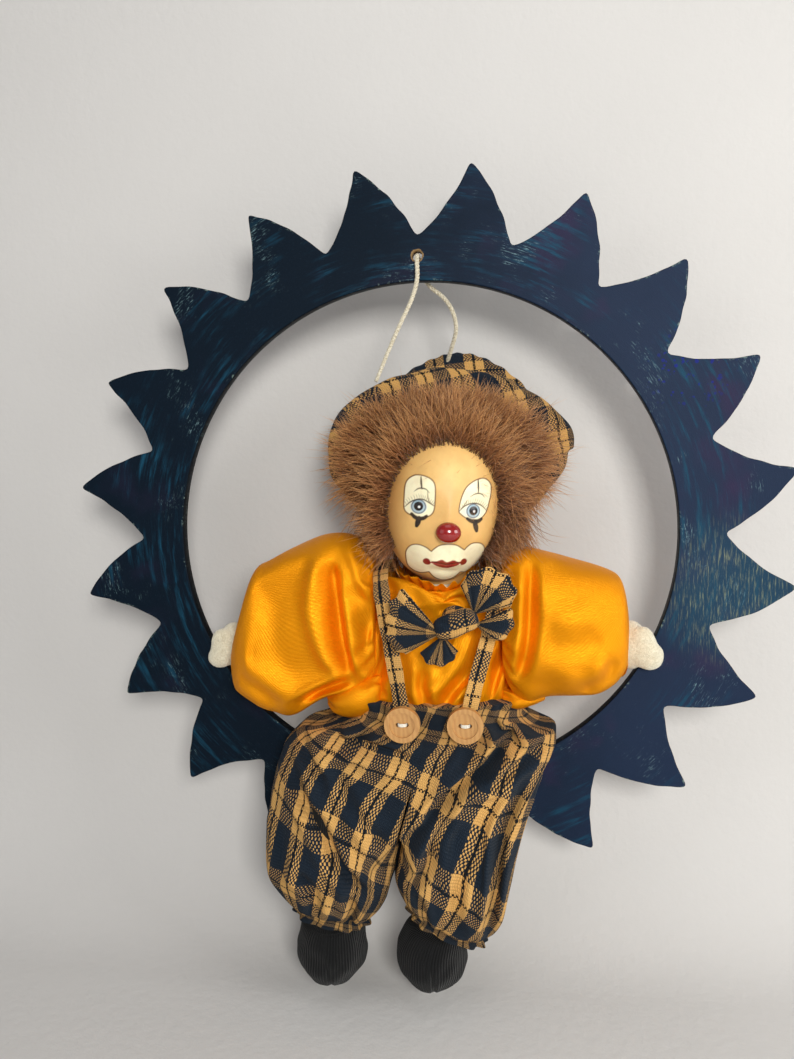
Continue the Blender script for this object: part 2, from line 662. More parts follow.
def flame_outline():
    """The sawn outline: each tooth swells up to its tip and hollows back to the next valley."""
    outline = []
    step = 360 / TEETH
    for k in range(TEETH):
        top = 90 + step * k
        valley, following = polar(TOOTH_VALLEY, top), polar(TOOTH_VALLEY, top + step)
        tip = polar(TOOTH_TIP, top + 9.6)
        outline.append(arc_through(valley, polar(128.6, top + 5), tip, 26))
        outline.append(arc_through(tip, polar(122.6, top + 13.2), following, 24))
    outline = np.vstack(outline)
    for _ in range(3):
        outline = (np.roll(outline, 1, 0) + 2 * outline + np.roll(outline, -1, 0)) / 4
    return outline


def make_ring():
    """The ring's own mesh: flat faces with softened edges, whose distance to an edge drives the wear."""
    outer = flame_outline()
    shaken = np.hstack([outer, np.zeros((len(outer), 1))])
    turn = np.arctan2(outer[:, 1], outer[:, 0])
    along = np.roll(outer, -1, 0) - np.roll(outer, 1, 0)
    out = np.stack([along[:, 1], -along[:, 0]], -1) / np.linalg.norm(along, axis=1)[:, None]
    outer = outer + out * (0.16 * waves(shaken, 9.0, 3))[:, None]
    way = np.stack([np.cos(turn), np.sin(turn)], -1)
    inner = way * RING_INNER
    b = EDGE_ROUND
    rows = []
    spread = 0.5 - 0.5 * np.cos(np.linspace(0, math.pi, 22))

    def face(y, shares):
        start, end = inner + way * b, outer - out * b
        for share in shares:
            rows.append((start + (end - start) * share, y, 0.0))

    def rim(edge, inward, y_first):
        turn_y = 1 if y_first < 0 else -1
        rows.append((edge + inward * b * 0.3, y_first + turn_y * b * 0.3, 0.5))
        for y in (y_first + turn_y * b, 0.0, -y_first - turn_y * b):
            rows.append((edge, y, 1.0))
        rows.append((edge + inward * b * 0.3, -y_first - turn_y * b * 0.3, 0.5))

    face(-HALF_THICK, spread)
    rim(outer, -out, -HALF_THICK)
    face(HALF_THICK, spread[::-2])
    rim(inner, way, HALF_THICK)
    points = np.array([np.stack([flat[:, 0], np.full(len(flat), y), flat[:, 1]], -1)
                       for flat, y, _ in rows])
    side = np.repeat([s for *_, s in rows], len(outer))
    count, columns = points.shape[:2]
    ring_points = points.reshape(-1, 3)
    faces, at = grid_faces(count + 1, columns)
    faces = faces % (count * columns)
    radius = np.hypot(ring_points[:, 0], ring_points[:, 2])
    flat = ring_points[:, [0, 2]]
    near = np.array([np.min(np.linalg.norm(outer - p, axis=1)) for p in flat])
    edge = np.minimum(near, np.abs(radius - RING_INNER)) * (side < 0.4)
    uv = np.stack([at[..., 1] / columns * 2 * math.pi * 0.115, radius[faces] * MM], -1)
    ring = add_mesh("painted_sun", ring_points, faces[:, ::-1], uv[:, ::-1], SUN)
    paint_points(ring, "edge", edge * MM)
    paint_points(ring, "side", side)
    drill_points, drill_faces, drill_caps = tube([(0, -4, 105.2), (0, 4, 105.2)], 1.9, 40)
    drill_faces = np.vstack([drill_faces[:, [0, 1, 2]], drill_faces[:, [0, 2, 3]], drill_caps])
    drill = add_mesh("drill", drill_points, drill_faces)
    bored = ring.modifiers.new("hang_hole", "BOOLEAN")
    bored.object = drill
    bored.solver = "EXACT"
    keep_shape(ring)
    bpy.data.objects.remove(drill)
    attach(ring, ROOT)
    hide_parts("sun_ring")


# ---------------------------------------------------------------- head

HEAD_CENTRE = np.array([8.0, -10.0, 14.0])
HEAD_HALF = np.array([22.0, 30.0, 23.5])
HEAD_ROLL, HEAD_YAW = math.radians(6.5), math.radians(9)
FACE_RIGHT = np.array([math.cos(HEAD_YAW), math.sin(HEAD_YAW), 0.0])
FACE_OUT = np.array([math.sin(HEAD_YAW), -math.cos(HEAD_YAW), 0.0])
FACE_UP = math.cos(HEAD_ROLL) * np.array([0, 0, 1.0]) + math.sin(HEAD_ROLL) * FACE_RIGHT
FACE_RIGHT = math.cos(HEAD_ROLL) * FACE_RIGHT - math.sin(HEAD_ROLL) * np.array([0, 0, 1.0])

NOSE = (1.45, -9.7)
EYES = {
    "left": {
        "iris": (-9.7, -1.7),
        "patch": [(-14.4, -3.4), (-14.9, 2.0), (-14.4, 6.4), (-12.4, 8.7), (-9.9, 9.3), (-6.6, 8.5),
                  (-4.7, 6.4), (-4.2, 1.6), (-4.5, -3.2), (-7.0, -5.2), (-11.0, -5.3)],
        "line": [(-9.6, 8.7), (-9.3, 6.6), (-8.9, 4.6)],
        "arc": [(-11.6, 3.4), (-10.2, 4.5), (-8.9, 4.8), (-7.4, 4.5), (-6.3, 3.4)],
        "fold": [(-7.0, 4.0), (-6.7, 1.6), (-6.0, 0.2), (-4.5, -0.8)],
        "lid": [(-14.4, -2.4), (-12.6, -0.4), (-10.2, 0.8), (-8.2, 0.9), (-6.2, 0.0), (-4.5, -0.9)],
        "tear": [(-11.8, -4.6), (-10.6, -5.5), (-9.2, -5.9), (-7.6, -5.6), (-6.6, -4.8)],
        "drop": [(-9.1, -5.6), (-9.2, -7.0), (-9.4, -8.4)],
    },
    "right": {
        "iris": (9.9, -1.6),
        "patch": [(4.5, -1.6), (5.0, 3.0), (6.4, 6.6), (9.4, 9.1), (12.6, 10.1), (15.1, 8.9), (15.9, 6.6),
                  (15.8, 2.4), (15.0, -1.8), (12.4, -4.4), (8.2, -4.4), (5.4, -3.0)],
        "line": [(10.5, 9.4), (10.6, 7.2), (10.8, 5.0)],
        "arc": [(8.1, 3.3), (9.5, 4.3), (11.0, 4.7), (12.4, 4.4), (13.7, 3.4)],
        "fold": [(7.2, 2.0), (6.4, 0.4), (5.2, -1.2)],
        "lid": [(4.6, -2.0), (6.6, 0.0), (8.8, 1.0), (11.2, 1.1), (13.4, 0.2), (15.2, -1.4)],
        "tear": [(7.9, -4.4), (9.2, -5.1), (10.8, -5.4), (12.2, -5.1), (13.3, -4.3)],
        "drop": [(10.7, -5.3), (11.2, -7.0), (11.5, -8.4)],
    },
}
MOUTH_LOBES = [(-12.0, -19.7), (-11.5, -17.0), (-9.9, -15.3), (-7.7, -15.0), (-5.3, -15.8), (-3.5, -16.9),
               (-2.9, -16.3), (-0.9, -14.6), (2.2, -13.8), (5.2, -14.1), (7.7, -15.4), (8.2, -15.5),
               (8.8, -14.6), (10.3, -13.1), (12.3, -12.7), (14.4, -13.3), (16.2, -15.2), (16.9, -17.8),
               (16.2, -21.0), (14.0, -23.9), (11.4, -25.2), (8.8, -24.7), (8.0, -25.0), (6.0, -27.0),
               (2.8, -27.6), (-0.6, -26.9), (-2.7, -25.4), (-3.2, -25.2), (-5.8, -26.3), (-8.4, -25.9),
               (-10.8, -24.0)]
UPPER_LIP = [(-2.9, -20.6), (-1.0, -20.0), (0.6, -19.4), (2.3, -20.0), (4.4, -19.3), (5.8, -19.7),
             (7.1, -20.1)]
LOWER_LIP = [(6.0, -21.0), (3.8, -21.9), (1.9, -22.2), (-0.4, -21.8), (-1.9, -21.1)]
LIP_PARTING = [(-2.6, -20.6), (0.6, -20.7), (2.4, -20.9), (4.2, -20.5), (6.9, -20.2)]
LIP_DOTS = ((-4.4, -20.9), (8.4, -20.0))


def inside(flat, outline):
    """Which 2-D points lie in a closed outline."""
    found = np.zeros(len(flat), bool)
    for (ax, ay), (bx, by) in zip(outline, np.roll(outline, -1, 0)):
        crosses = (ay > flat[:, 1]) != (by > flat[:, 1])
        with np.errstate(divide="ignore", invalid="ignore"):
            reach = (bx - ax) * (flat[:, 1] - ay) / (by - ay) + ax
        found ^= crosses & (flat[:, 0] < reach)
    return found


class Brush:
    """Paint and gloss at points of the face, laid on in order like a painter's coats."""

    def __init__(self, flat, colour, front):
        self.flat, self.colour, self.front = flat, colour, front
        self.gloss = np.zeros(len(flat))

    def coat(self, cover, colour, gloss=0.12):
        cover = np.clip(cover, 0, 1) * self.front
        self.colour += (np.array(colour[:3]) - self.colour) * cover[:, None]
        self.gloss += (gloss - self.gloss) * cover

    def fill(self, outline, colour, line_colour, line_width):
        outline = closed_through(outline, 10)
        closed = np.vstack([outline, outline[:1]])
        distance = from_path(self.flat, closed)[0]
        signed = np.where(inside(self.flat, outline), -distance, distance)
        self.coat(0.5 - signed / 0.28, colour)
        self.coat(0.5 - (distance - line_width / 2) / 0.26, line_colour)

    def stroke(self, path, width, colour, strength=1.0, taper=0.5):
        distance, share = from_path(self.flat, through(path, 24))
        half = width / 2 * (1 - taper * np.abs(2 * share - 1) ** 2)
        self.coat((0.5 - (distance - half) / 0.24) * strength, colour)

    def spot(self, centre, half_width, half_height, colour, strength=1.0, soft=0.24, gloss=0.12):
        offset = (self.flat - np.array(centre)) / (half_width, half_height)
        distance = (np.linalg.norm(offset, axis=1) - 1) * min(half_width, half_height)
        self.coat((0.5 - distance / soft) * strength, colour, gloss)


def paint_face(flat, front, bulk):
    """The clown's face: cream patches with brown edges, round eyes, tear marks and a red mouth."""
    cream, brown, black = srgb(252, 243, 205), srgb(104, 68, 34), srgb(20, 16, 15)
    buff = np.tile(np.array(srgb(224, 178, 108)[:3]), (len(flat), 1))
    shade = np.array(srgb(176, 118, 58)[:3])
    edge = ease(np.abs(flat[:, 0] - 1.5), 13.5, 22)
    chin = ease(-flat[:, 1], 24.5, 30) * 0.6
    buff += (shade - buff) * np.clip(edge * 0.75 + chin, 0, 0.8)[:, None]
    glow = np.exp(-(((flat[:, 0] - 2) / 9) ** 2 + ((flat[:, 1] - 12) / 7) ** 2))
    buff += (np.array(srgb(250, 214, 140)[:3]) - buff) * (0.5 * glow)[:, None]
    buff *= (1 + 0.03 * waves(bulk, 7.0, 11))[:, None]
    brush = Brush(flat, buff, front)
    for side, eye in EYES.items():
        x, y = eye["iris"]
        brush.fill(eye["patch"], cream, brown, 0.42)
        brush.stroke(eye["line"], 0.62, black, taper=0.45)
        brush.stroke(eye["arc"], 0.4, black, taper=0.8)
        brush.stroke(eye["fold"], 0.3, brown, 0.9, 0.3)
        lid = through(eye["lid"], 17)
        outward = 1 if side == "right" else -1
        for root in lid[1:-1]:
            lean = (root[0] - x) * 0.22 + outward * 0.25
            tip = root + np.array([lean, 1.9 - 0.12 * abs(root[0] - x)])
            brush.stroke([root, (root + tip) / 2 + (0.12, 0.1), tip], 0.26, srgb(96, 98, 84), 0.62, 0.9)
        brush.spot((x, y), 3.0, 2.7, srgb(226, 232, 226), 0.9)
        brush.spot((x, y), 2.6, 2.55, srgb(70, 84, 96))
        brush.spot((x, y), 2.2, 2.2, srgb(160, 186, 198))
        brush.spot((x, y - 0.4), 2.0, 1.6, srgb(196, 212, 214), 0.6, 0.9)
        brush.spot((x, y + 0.1), 1.62, 1.62, srgb(10, 12, 16), gloss=0.25)
        brush.spot((x + 0.25, y - 0.1), 0.42, 0.42, srgb(250, 250, 248), gloss=0.25)
        brush.stroke(eye["lid"], 0.5, srgb(58, 46, 34), 0.95, 0.6)
        brush.stroke(eye["tear"], 1.45, black, taper=0.25)
        brush.stroke(eye["drop"], 1.9, black, taper=0.35)
    brush.fill(MOUTH_LOBES, cream, brown, 0.4)
    red = srgb(138, 18, 20)
    brush.fill(UPPER_LIP + LOWER_LIP, red, red, 0.25)
    brush.stroke(LIP_PARTING, 0.3, srgb(78, 8, 12), 0.9)
    for dot in LIP_DOTS:
        brush.spot(dot, 1.4, 1.25, red)
        brush.stroke([dot, (dot[0] + (1.8 if dot[0] < 0 else -1.6), dot[1] + 0.2)], 0.4, red, taper=0.1)
    return brush


def relief(flat):
    """How far the moulded face stands out of the plain egg, at 2-D points of the face."""

    def mound(x, y, wide, tall, height):
        return height * np.exp(-(((flat[:, 0] - x) / wide) ** 2 + ((flat[:, 1] - y) / tall) ** 2))

    total = mound(-9.6, -1.5, 5.6, 4.2, -0.9) + mound(9.9, -1.4, 5.6, 4.2, -0.9)
    total += mound(-9.7, -1.8, 3.2, 2.6, 0.75) + mound(9.9, -1.7, 3.2, 2.6, 0.75)
    total += mound(-8.5, 5.6, 6.0, 2.6, 0.35) + mound(11.0, 6.0, 5.6, 2.6, 0.35)
    total += mound(1.4, -3.6, 2.4, 6.0, 1.0) + mound(1.4, -9.7, 4.4, 3.4, 0.9)
    total += mound(-10.5, -12.5, 5.8, 5.0, 0.8) + mound(13.0, -11.5, 5.0, 5.0, 0.8)
    total += mound(2.2, -20.6, 8.0, 4.6, 1.1) + mound(2.2, -27.0, 5.0, 3.0, 0.9)
    total += mound(2.2, -23.9, 5.0, 1.1, -0.45) + mound(2.2, -16.6, 1.0, 1.8, -0.3)
    lips = from_path(flat, through(LIP_PARTING, 20))[0]
    return total + 0.5 * np.exp(-((lips / 1.5) ** 2)) - 0.42 * np.exp(-((lips / 0.35) ** 2))


def face_point(flat, lift):
    """The place on the moulded face at a 2-D face point, lifted off it by lift."""
    flat = np.atleast_2d(flat)
    across, up = flat[:, 0] / HEAD_HALF[0], flat[:, 1] / HEAD_HALF[1]
    depth = HEAD_HALF[2] * np.sqrt(np.clip(1 - across**2 - up**2, 0, 1))
    depth = depth + relief(flat) + lift
    return HEAD_CENTRE + flat[:, :1] * FACE_RIGHT + flat[:, 1:] * FACE_UP + depth[:, None] * FACE_OUT


def make_head():
    """A bisque egg with a moulded, painted face, its nose and its neck."""
    front = np.radians(np.linspace(-76, 76, 251))
    turn = np.concatenate([front, np.radians(np.linspace(76, 284, 56))[1:-1]])
    low, face, high = np.linspace(-90, -76, 8), np.linspace(-76, 27, 211), np.linspace(27, 90, 28)
    height = np.radians(np.concatenate([low, face[1:], high[1:]]))
    lat, lon = np.meshgrid(height, turn, indexing="ij")
    unit = np.stack([np.sin(lon) * np.cos(lat), np.sin(lat), np.cos(lon) * np.cos(lat)], -1).reshape(-1, 3)
    local = unit * HEAD_HALF
    flat = local[:, :2]
    front_side = ease(unit[:, 2], 0.02, 0.2)
    normal = unit / HEAD_HALF
    normal /= np.linalg.norm(normal, axis=1)[:, None]
    local = local + normal * (relief(flat) * front_side)[:, None]
    points = HEAD_CENTRE + local @ np.array([FACE_RIGHT, FACE_UP, FACE_OUT])
    faces = grid_faces(len(height), len(turn))[0]
    head = add_mesh("bisque_head", points, faces, material=BISQUE)
    brush = paint_face(flat, (unit[:, 2] > 0.05) * 1.0, points)
    paint_points(head, "paint", brush.colour)
    paint_points(head, "gloss", brush.gloss)
    weld(head)
    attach(head, HEAD)
    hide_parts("head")

    lat, lon = np.meshgrid(np.radians(np.linspace(-90, 90, 41)), np.radians(np.arange(0, 360, 5)),
                           indexing="ij")
    ball = np.stack([np.sin(lon) * np.cos(lat), np.sin(lat), np.cos(lon) * np.cos(lat)], -1).reshape(-1, 3)
    centre = face_point(NOSE, 0.3)[0]
    ball = centre + (ball * (4.5, 3.7, 3.3)) @ np.array([FACE_RIGHT, FACE_UP, FACE_OUT])
    nose = weld(add_mesh("enamel_nose", ball, grid_faces(41, 72)[0], material=ENAMEL))
    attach(nose, HEAD)

    stem = loft([(8, -4, -26, 8.2, 8.2), (8, -4, -24, 8.8, 8.8), (8, -4, -14, 8.6, 8.8),
                 (8, -5, -8, 10, 10.5)], 30, 72)
    stem = np.concatenate([np.repeat([[[8.0, -4.0, -26.0]]], 72, 1), stem], 0)
    neck = add_mesh("bisque_neck", stem.reshape(-1, 3), grid_faces(31, 72)[0], material=BISQUE)
    paint_points(neck, "paint", np.tile(np.array(srgb(206, 158, 92)[:3]), (31 * 72, 1)))
    paint_points(neck, "gloss", np.zeros(31 * 72))
    weld(neck)
    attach(neck, HEAD)


make_ring()
make_head()

# ---------------------------------------------------------------- fur wig

FACE_HAIRS, BACKING_HAIRS = 3600, 9000
WIG_CENTRE, WIG_HALF = np.array([8.0, -2.0, 28.6]), np.array([46.0, 26.0, 28.0])
BACKING_CENTRE, BACKING_HALF = np.array([8.0, 1.0, 28.0]), np.array([36.0, 20.0, 22.0])
HAIRLINE_CENTRE, HAIRLINE_HALF = np.array([0.0, -3.0]), np.array([19.5, 23.0])


def ball_points(centre, half, rows, columns):
    """A grid over an ellipsoid with poles above and below, its unit directions and its faces."""
    lat, lon = np.meshgrid(np.linspace(-90, 90, rows), np.arange(columns) / columns * 360, indexing="ij")
    lat, lon = np.radians(lat), np.radians(lon)
    unit = np.stack([np.sin(lon) * np.cos(lat), -np.cos(lon) * np.cos(lat), np.sin(lat)], -1).reshape(-1, 3)
    return np.asarray(centre) + unit * np.asarray(half), unit, grid_faces(rows, columns)[0]


def unit_rows(vectors):
    return vectors / np.linalg.norm(vectors, axis=1)[:, None]


HAIR_THICK = 0.14


def add_strands(name, roots, ways, lengths, bends, shades):
    """Tapered three-sided hairs. Each leaves its root along its way and curls towards its bend."""
    rings, sides = 5, 3
    count = len(roots)
    t = np.linspace(0, 1, rings + 1)[None, :, None]
    path = roots[:, None] + (ways[:, None] * t + bends[:, None] * t**2) * lengths[:, None, None]
    along = unit_rows(np.gradient(path, axis=1).reshape(-1, 3)).reshape(path.shape)
    side = np.cross(along, np.array([0.31, 0.17, 0.93]))
    side = unit_rows(side.reshape(-1, 3)).reshape(path.shape)
    up = np.cross(along, side)
    turn = np.arange(sides) / sides * 2 * math.pi
    wide = HAIR_THICK * (1 - 0.8 * t[:, :-1]) ** 0.8
    ring = side[:, :-1, None] * np.cos(turn)[:, None] + up[:, :-1, None] * np.sin(turn)[:, None]
    body = path[:, :-1, None] + ring * wide[..., None]
    points = np.concatenate([body.reshape(count, -1, 3), path[:, -1:]], 1)
    each = rings * sides + 1
    faces = [(0, 2, 1)]
    for k in range(rings - 1):
        for s in range(sides):
            a, b = k * sides + s, k * sides + (s + 1) % sides
            faces += [(a, b, b + sides), (a, b + sides, a + sides)]
    last = (rings - 1) * sides
    faces += [(last + s, last + (s + 1) % sides, each - 1) for s in range(sides)]
    faces = (np.array(faces)[None] + np.arange(count)[:, None, None] * each).reshape(-1, 3)
    obj = add_mesh(name, points.reshape(-1, 3), faces, material=FUR)
    along_hair = np.append(np.repeat(t[0, :-1, 0], sides), 1.0)[None, :, None]
    root, middle, tip = (np.array(srgb(*c)[:3]) for c in ((52, 26, 10), (136, 80, 38), (222, 168, 106)))
    low = root + (middle - root) * np.clip(along_hair * 2, 0, 1)
    colour = low + (tip - low) * np.clip(along_hair * 2 - 1, 0, 1)
    paint_points(obj, "shade", (colour * shades[:, None, None]).reshape(-1, 3))
    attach(obj, HEAD)
    return obj


def make_fur():
    """A plush wig: a lumpy backing under combed hairs that fan out round the face."""
    draw = np.random.default_rng(20)
    points, unit, faces = ball_points(BACKING_CENTRE, BACKING_HALF, 72, 110)
    points = points + unit * (1.6 * waves(points, 9.0, 5) + 0.5 * waves(points, 3.5, 6))[:, None]
    backing = add_mesh("fur_backing", points, faces, material=FUR)
    shade = np.array(srgb(70, 38, 16)[:3]) * (1 + 0.25 * waves(points, 4.0, 7))[:, None]
    paint_points(backing, "shade", shade)
    weld(backing)
    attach(backing, HEAD)
    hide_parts("wig")

    turn = draw.uniform(math.radians(-38), math.radians(218), FACE_HAIRS)
    reach = 1.0 + 0.42 * draw.uniform(0, 1, FACE_HAIRS) ** 1.2
    flat = HAIRLINE_CENTRE + HAIRLINE_HALF * np.stack([np.cos(turn), np.sin(turn)], -1) * reach[:, None]
    inner = (flat[:, 0] / 21.6) ** 2 + (flat[:, 1] / 29.5) ** 2 < 1
    flat, turn = flat[inner], turn[inner]
    roots = face_point(flat, -0.4)
    fan = np.cos(turn)[:, None] * FACE_RIGHT + np.sin(turn)[:, None] * FACE_UP
    ways = unit_rows(fan + 0.5 * FACE_OUT + 0.3 * draw.normal(size=fan.shape) * (1, 0.6, 1))
    bends = -0.16 * FACE_OUT + 0.2 * draw.normal(size=fan.shape)
    add_strands("fur_at_face", roots, ways, draw.uniform(9, 17, len(roots)), bends,
                draw.uniform(0.75, 1.2, len(roots)))

    spot = unit_rows(draw.normal(size=(BACKING_HAIRS, 3)))
    spot = spot[spot[:, 1] < 0.55]
    roots = BACKING_CENTRE + spot * (35, 19.5, 21.5)
    from_rear = unit_rows((roots - (8, 2, 16)) * (1, 0.25, 1))
    outward = unit_rows(unit_rows(spot / BACKING_HALF) * 0.5 + from_rear * 0.8)
    tufts = np.stack([waves(roots, 11.0, s) for s in (31, 32, 33)], -1)
    ways = unit_rows(outward + 0.3 * tufts * (1, 0.6, 1) + 0.22 * draw.normal(size=roots.shape))
    lengths = draw.uniform(8.5, 14.5, len(roots))
    tips = (roots + ways * lengths[:, None] - WIG_CENTRE) / (WIG_HALF + 3.5)
    lengths *= np.clip(1.25 / np.maximum(np.linalg.norm(tips, axis=1), 1.0) - 0.25, 0.45, 1)
    bends = 0.24 * draw.normal(size=roots.shape) + (0, 0, -0.12)
    shades = np.clip(draw.normal(1.0, 0.17, len(roots)) + 0.1 * waves(roots, 8.0, 34), 0.5, 1.5)
    left = roots[:, 0] < 8
    for name, part in (("fur_left", left), ("fur_right", ~left)):
        add_strands(name, roots[part], ways[part], lengths[part], bends[part], shades[part])

    locks = []
    for x, y, rise, lean, many in ((-15.5, -8, 8, -0.25, 650), (32.0, -8, 9, 0.35, 900),
                                   (-7, 8, 3, -0.1, 420),
                                   (8, 14, 1, 0.0, 420), (23, 8, 3, 0.1, 420)):
        offset = draw.normal(size=(many, 3)) * (3.2, 4.5, 5.0)
        place = np.array([x, y, rise]) + offset
        way = unit_rows(np.array([lean, -0.22, -1.0]) + 0.2 * draw.normal(size=(many, 3)))
        locks.append((place, way, draw.uniform(9, 17, many), 0.2 * draw.normal(size=(many, 3)),
                      draw.uniform(0.5, 0.95, many)))
    add_strands("fur_locks", *(np.concatenate(part) for part in zip(*locks)))


# ---------------------------------------------------------------- cloth


CLOTH_FRAMES, CLOTH_STIFF = 22, 12.0


def settle(points, faces, held, growth, pressure, cap, bend):
    """Lets cloth that is cut larger by growth buckle between its held points, with pressure towards
    the side its faces turn to. No point may move more than cap."""
    size = 0.01
    mesh = bpy.data.meshes.new("settling")
    mesh.from_pydata((points * size).tolist(), [], faces.tolist())
    obj = bpy.data.objects.new("settling", mesh)
    bpy.context.scene.collection.objects.link(obj)
    group = obj.vertex_groups.new(name="held")
    for index, weight in enumerate(held):
        if weight > 0.01:
            group.add([index], float(weight), "REPLACE")
    cloth = obj.modifiers.new("cloth", "CLOTH")
    settings = cloth.settings
    settings.quality = 6
    settings.mass = 0.2
    settings.tension_stiffness = settings.compression_stiffness = CLOTH_STIFF
    settings.shear_stiffness = CLOTH_STIFF * 0.4
    settings.bending_stiffness = bend
    settings.air_damping = 2.0
    settings.vertex_group_mass = "held"
    settings.shrink_min = -growth
    settings.use_pressure = True
    settings.uniform_pressure_force = pressure
    settings.effector_weights.gravity = 0.0
    cloth.collision_settings.use_collision = False
    cloth.point_cache.frame_start, cloth.point_cache.frame_end = 1, CLOTH_FRAMES
    scene = bpy.context.scene
    for frame_number in range(1, CLOTH_FRAMES + 1):
        scene.frame_set(frame_number)
    shape = obj.evaluated_get(bpy.context.evaluated_depsgraph_get())
    made = np.zeros(len(points) * 3)
    shape.data.vertices.foreach_get("co", made)
    scene.frame_set(1)
    bpy.data.objects.remove(obj)
    move = made.reshape(-1, 3) / size - points
    far = np.linalg.norm(move, axis=1)[:, None]
    return points + move * np.minimum(1, cap / np.maximum(far, 1e-9))


def crease(points, path, depth, width, facing, ridge):
    """Presses a fold, in mm, into the front of points along an (x, rise) path, fading at its ends.
    A ridge above 0 raises the cloth beside the fold by that share of its depth; facing is 1 at the
    front of the points and 0 behind."""
    distance, share = from_path(points[..., [0, 2]].reshape(-1, 2), through(path, 30))
    distance, share = distance.reshape(points.shape[:-1]), share.reshape(points.shape[:-1])
    fade = np.minimum(ease(share, 0.0, 0.18), 1 - ease(share, 0.8, 1.0)) * 0.94 + 0.06
    push = np.exp(-((distance / width) ** 2)) - ridge * np.exp(-(((distance - 1.9 * width) / width) ** 2))
    points[..., 1] += depth * push * fade * facing
    return points


def relax(points, times):
    """Averages each point of a grid with its neighbours; the first and last rows stay."""
    for _ in range(times):
        beside = (np.roll(points, 1, 1) + np.roll(points, -1, 1)) / 2
        above = points.copy()
        above[1:-1] = (points[2:] + points[:-2]) / 2
        points = points * 0.5 + beside * 0.25 + above * 0.25
    return points


def turned(u, v, turn):
    """Places on flat cloth, turned by an angle."""
    c, s = math.cos(turn), math.sin(turn)
    return np.stack([u * c - v * s, u * s + v * c], -1)


def flat_cloth(at, rows, columns, width, length, turn=0.0, shift=(0.0, 0.0)):
    """Where each face corner lies on the flat cloth, in metres; width and length are in mm."""
    u = (at[..., 1] / columns - 0.5) * width * MM + shift[0] * MM
    v = at[..., 0] / (rows - 1) * length * MM + shift[1] * MM
    return turned(u, v, turn)


def face_outward(points, faces, uv):
    """The faces of a closed shape and their places on the cloth, turned over if they face inward."""
    corners = points[faces]
    sides = np.cross(corners[:, 2] - corners[:, 0], corners[:, 3] - corners[:, 1])
    if (sides * (corners.mean(1) - points.mean(0))).sum() < 0:
        return faces[:, ::-1], uv[:, ::-1]
    return faces, uv


def pucker(points, rows_from, depth, count, seed, fade):
    """Gathers one end of a tube: small pleats that die out over the fade share of its rows."""
    rows, columns = points.shape[:2]
    share = np.arange(rows) / (rows - 1)
    near = 1 - ease(np.abs(share - rows_from), 0, fade)
    turn = np.arange(columns) / columns * 2 * math.pi
    draw = np.random.default_rng(seed)
    pleat = np.sin(turn * count + draw.uniform(0, 6) + 1.1 * np.sin(turn * 3 + draw.uniform(0, 6)))
    pleat += 0.5 * np.sin(turn * (count * 0.6 // 1) + draw.uniform(0, 6))
    centre = points.mean(1, keepdims=True)
    out = points - centre
    out /= np.linalg.norm(out, axis=-1, keepdims=True)
    return points + out * (depth * near[:, None] * pleat[None, :])[..., None]


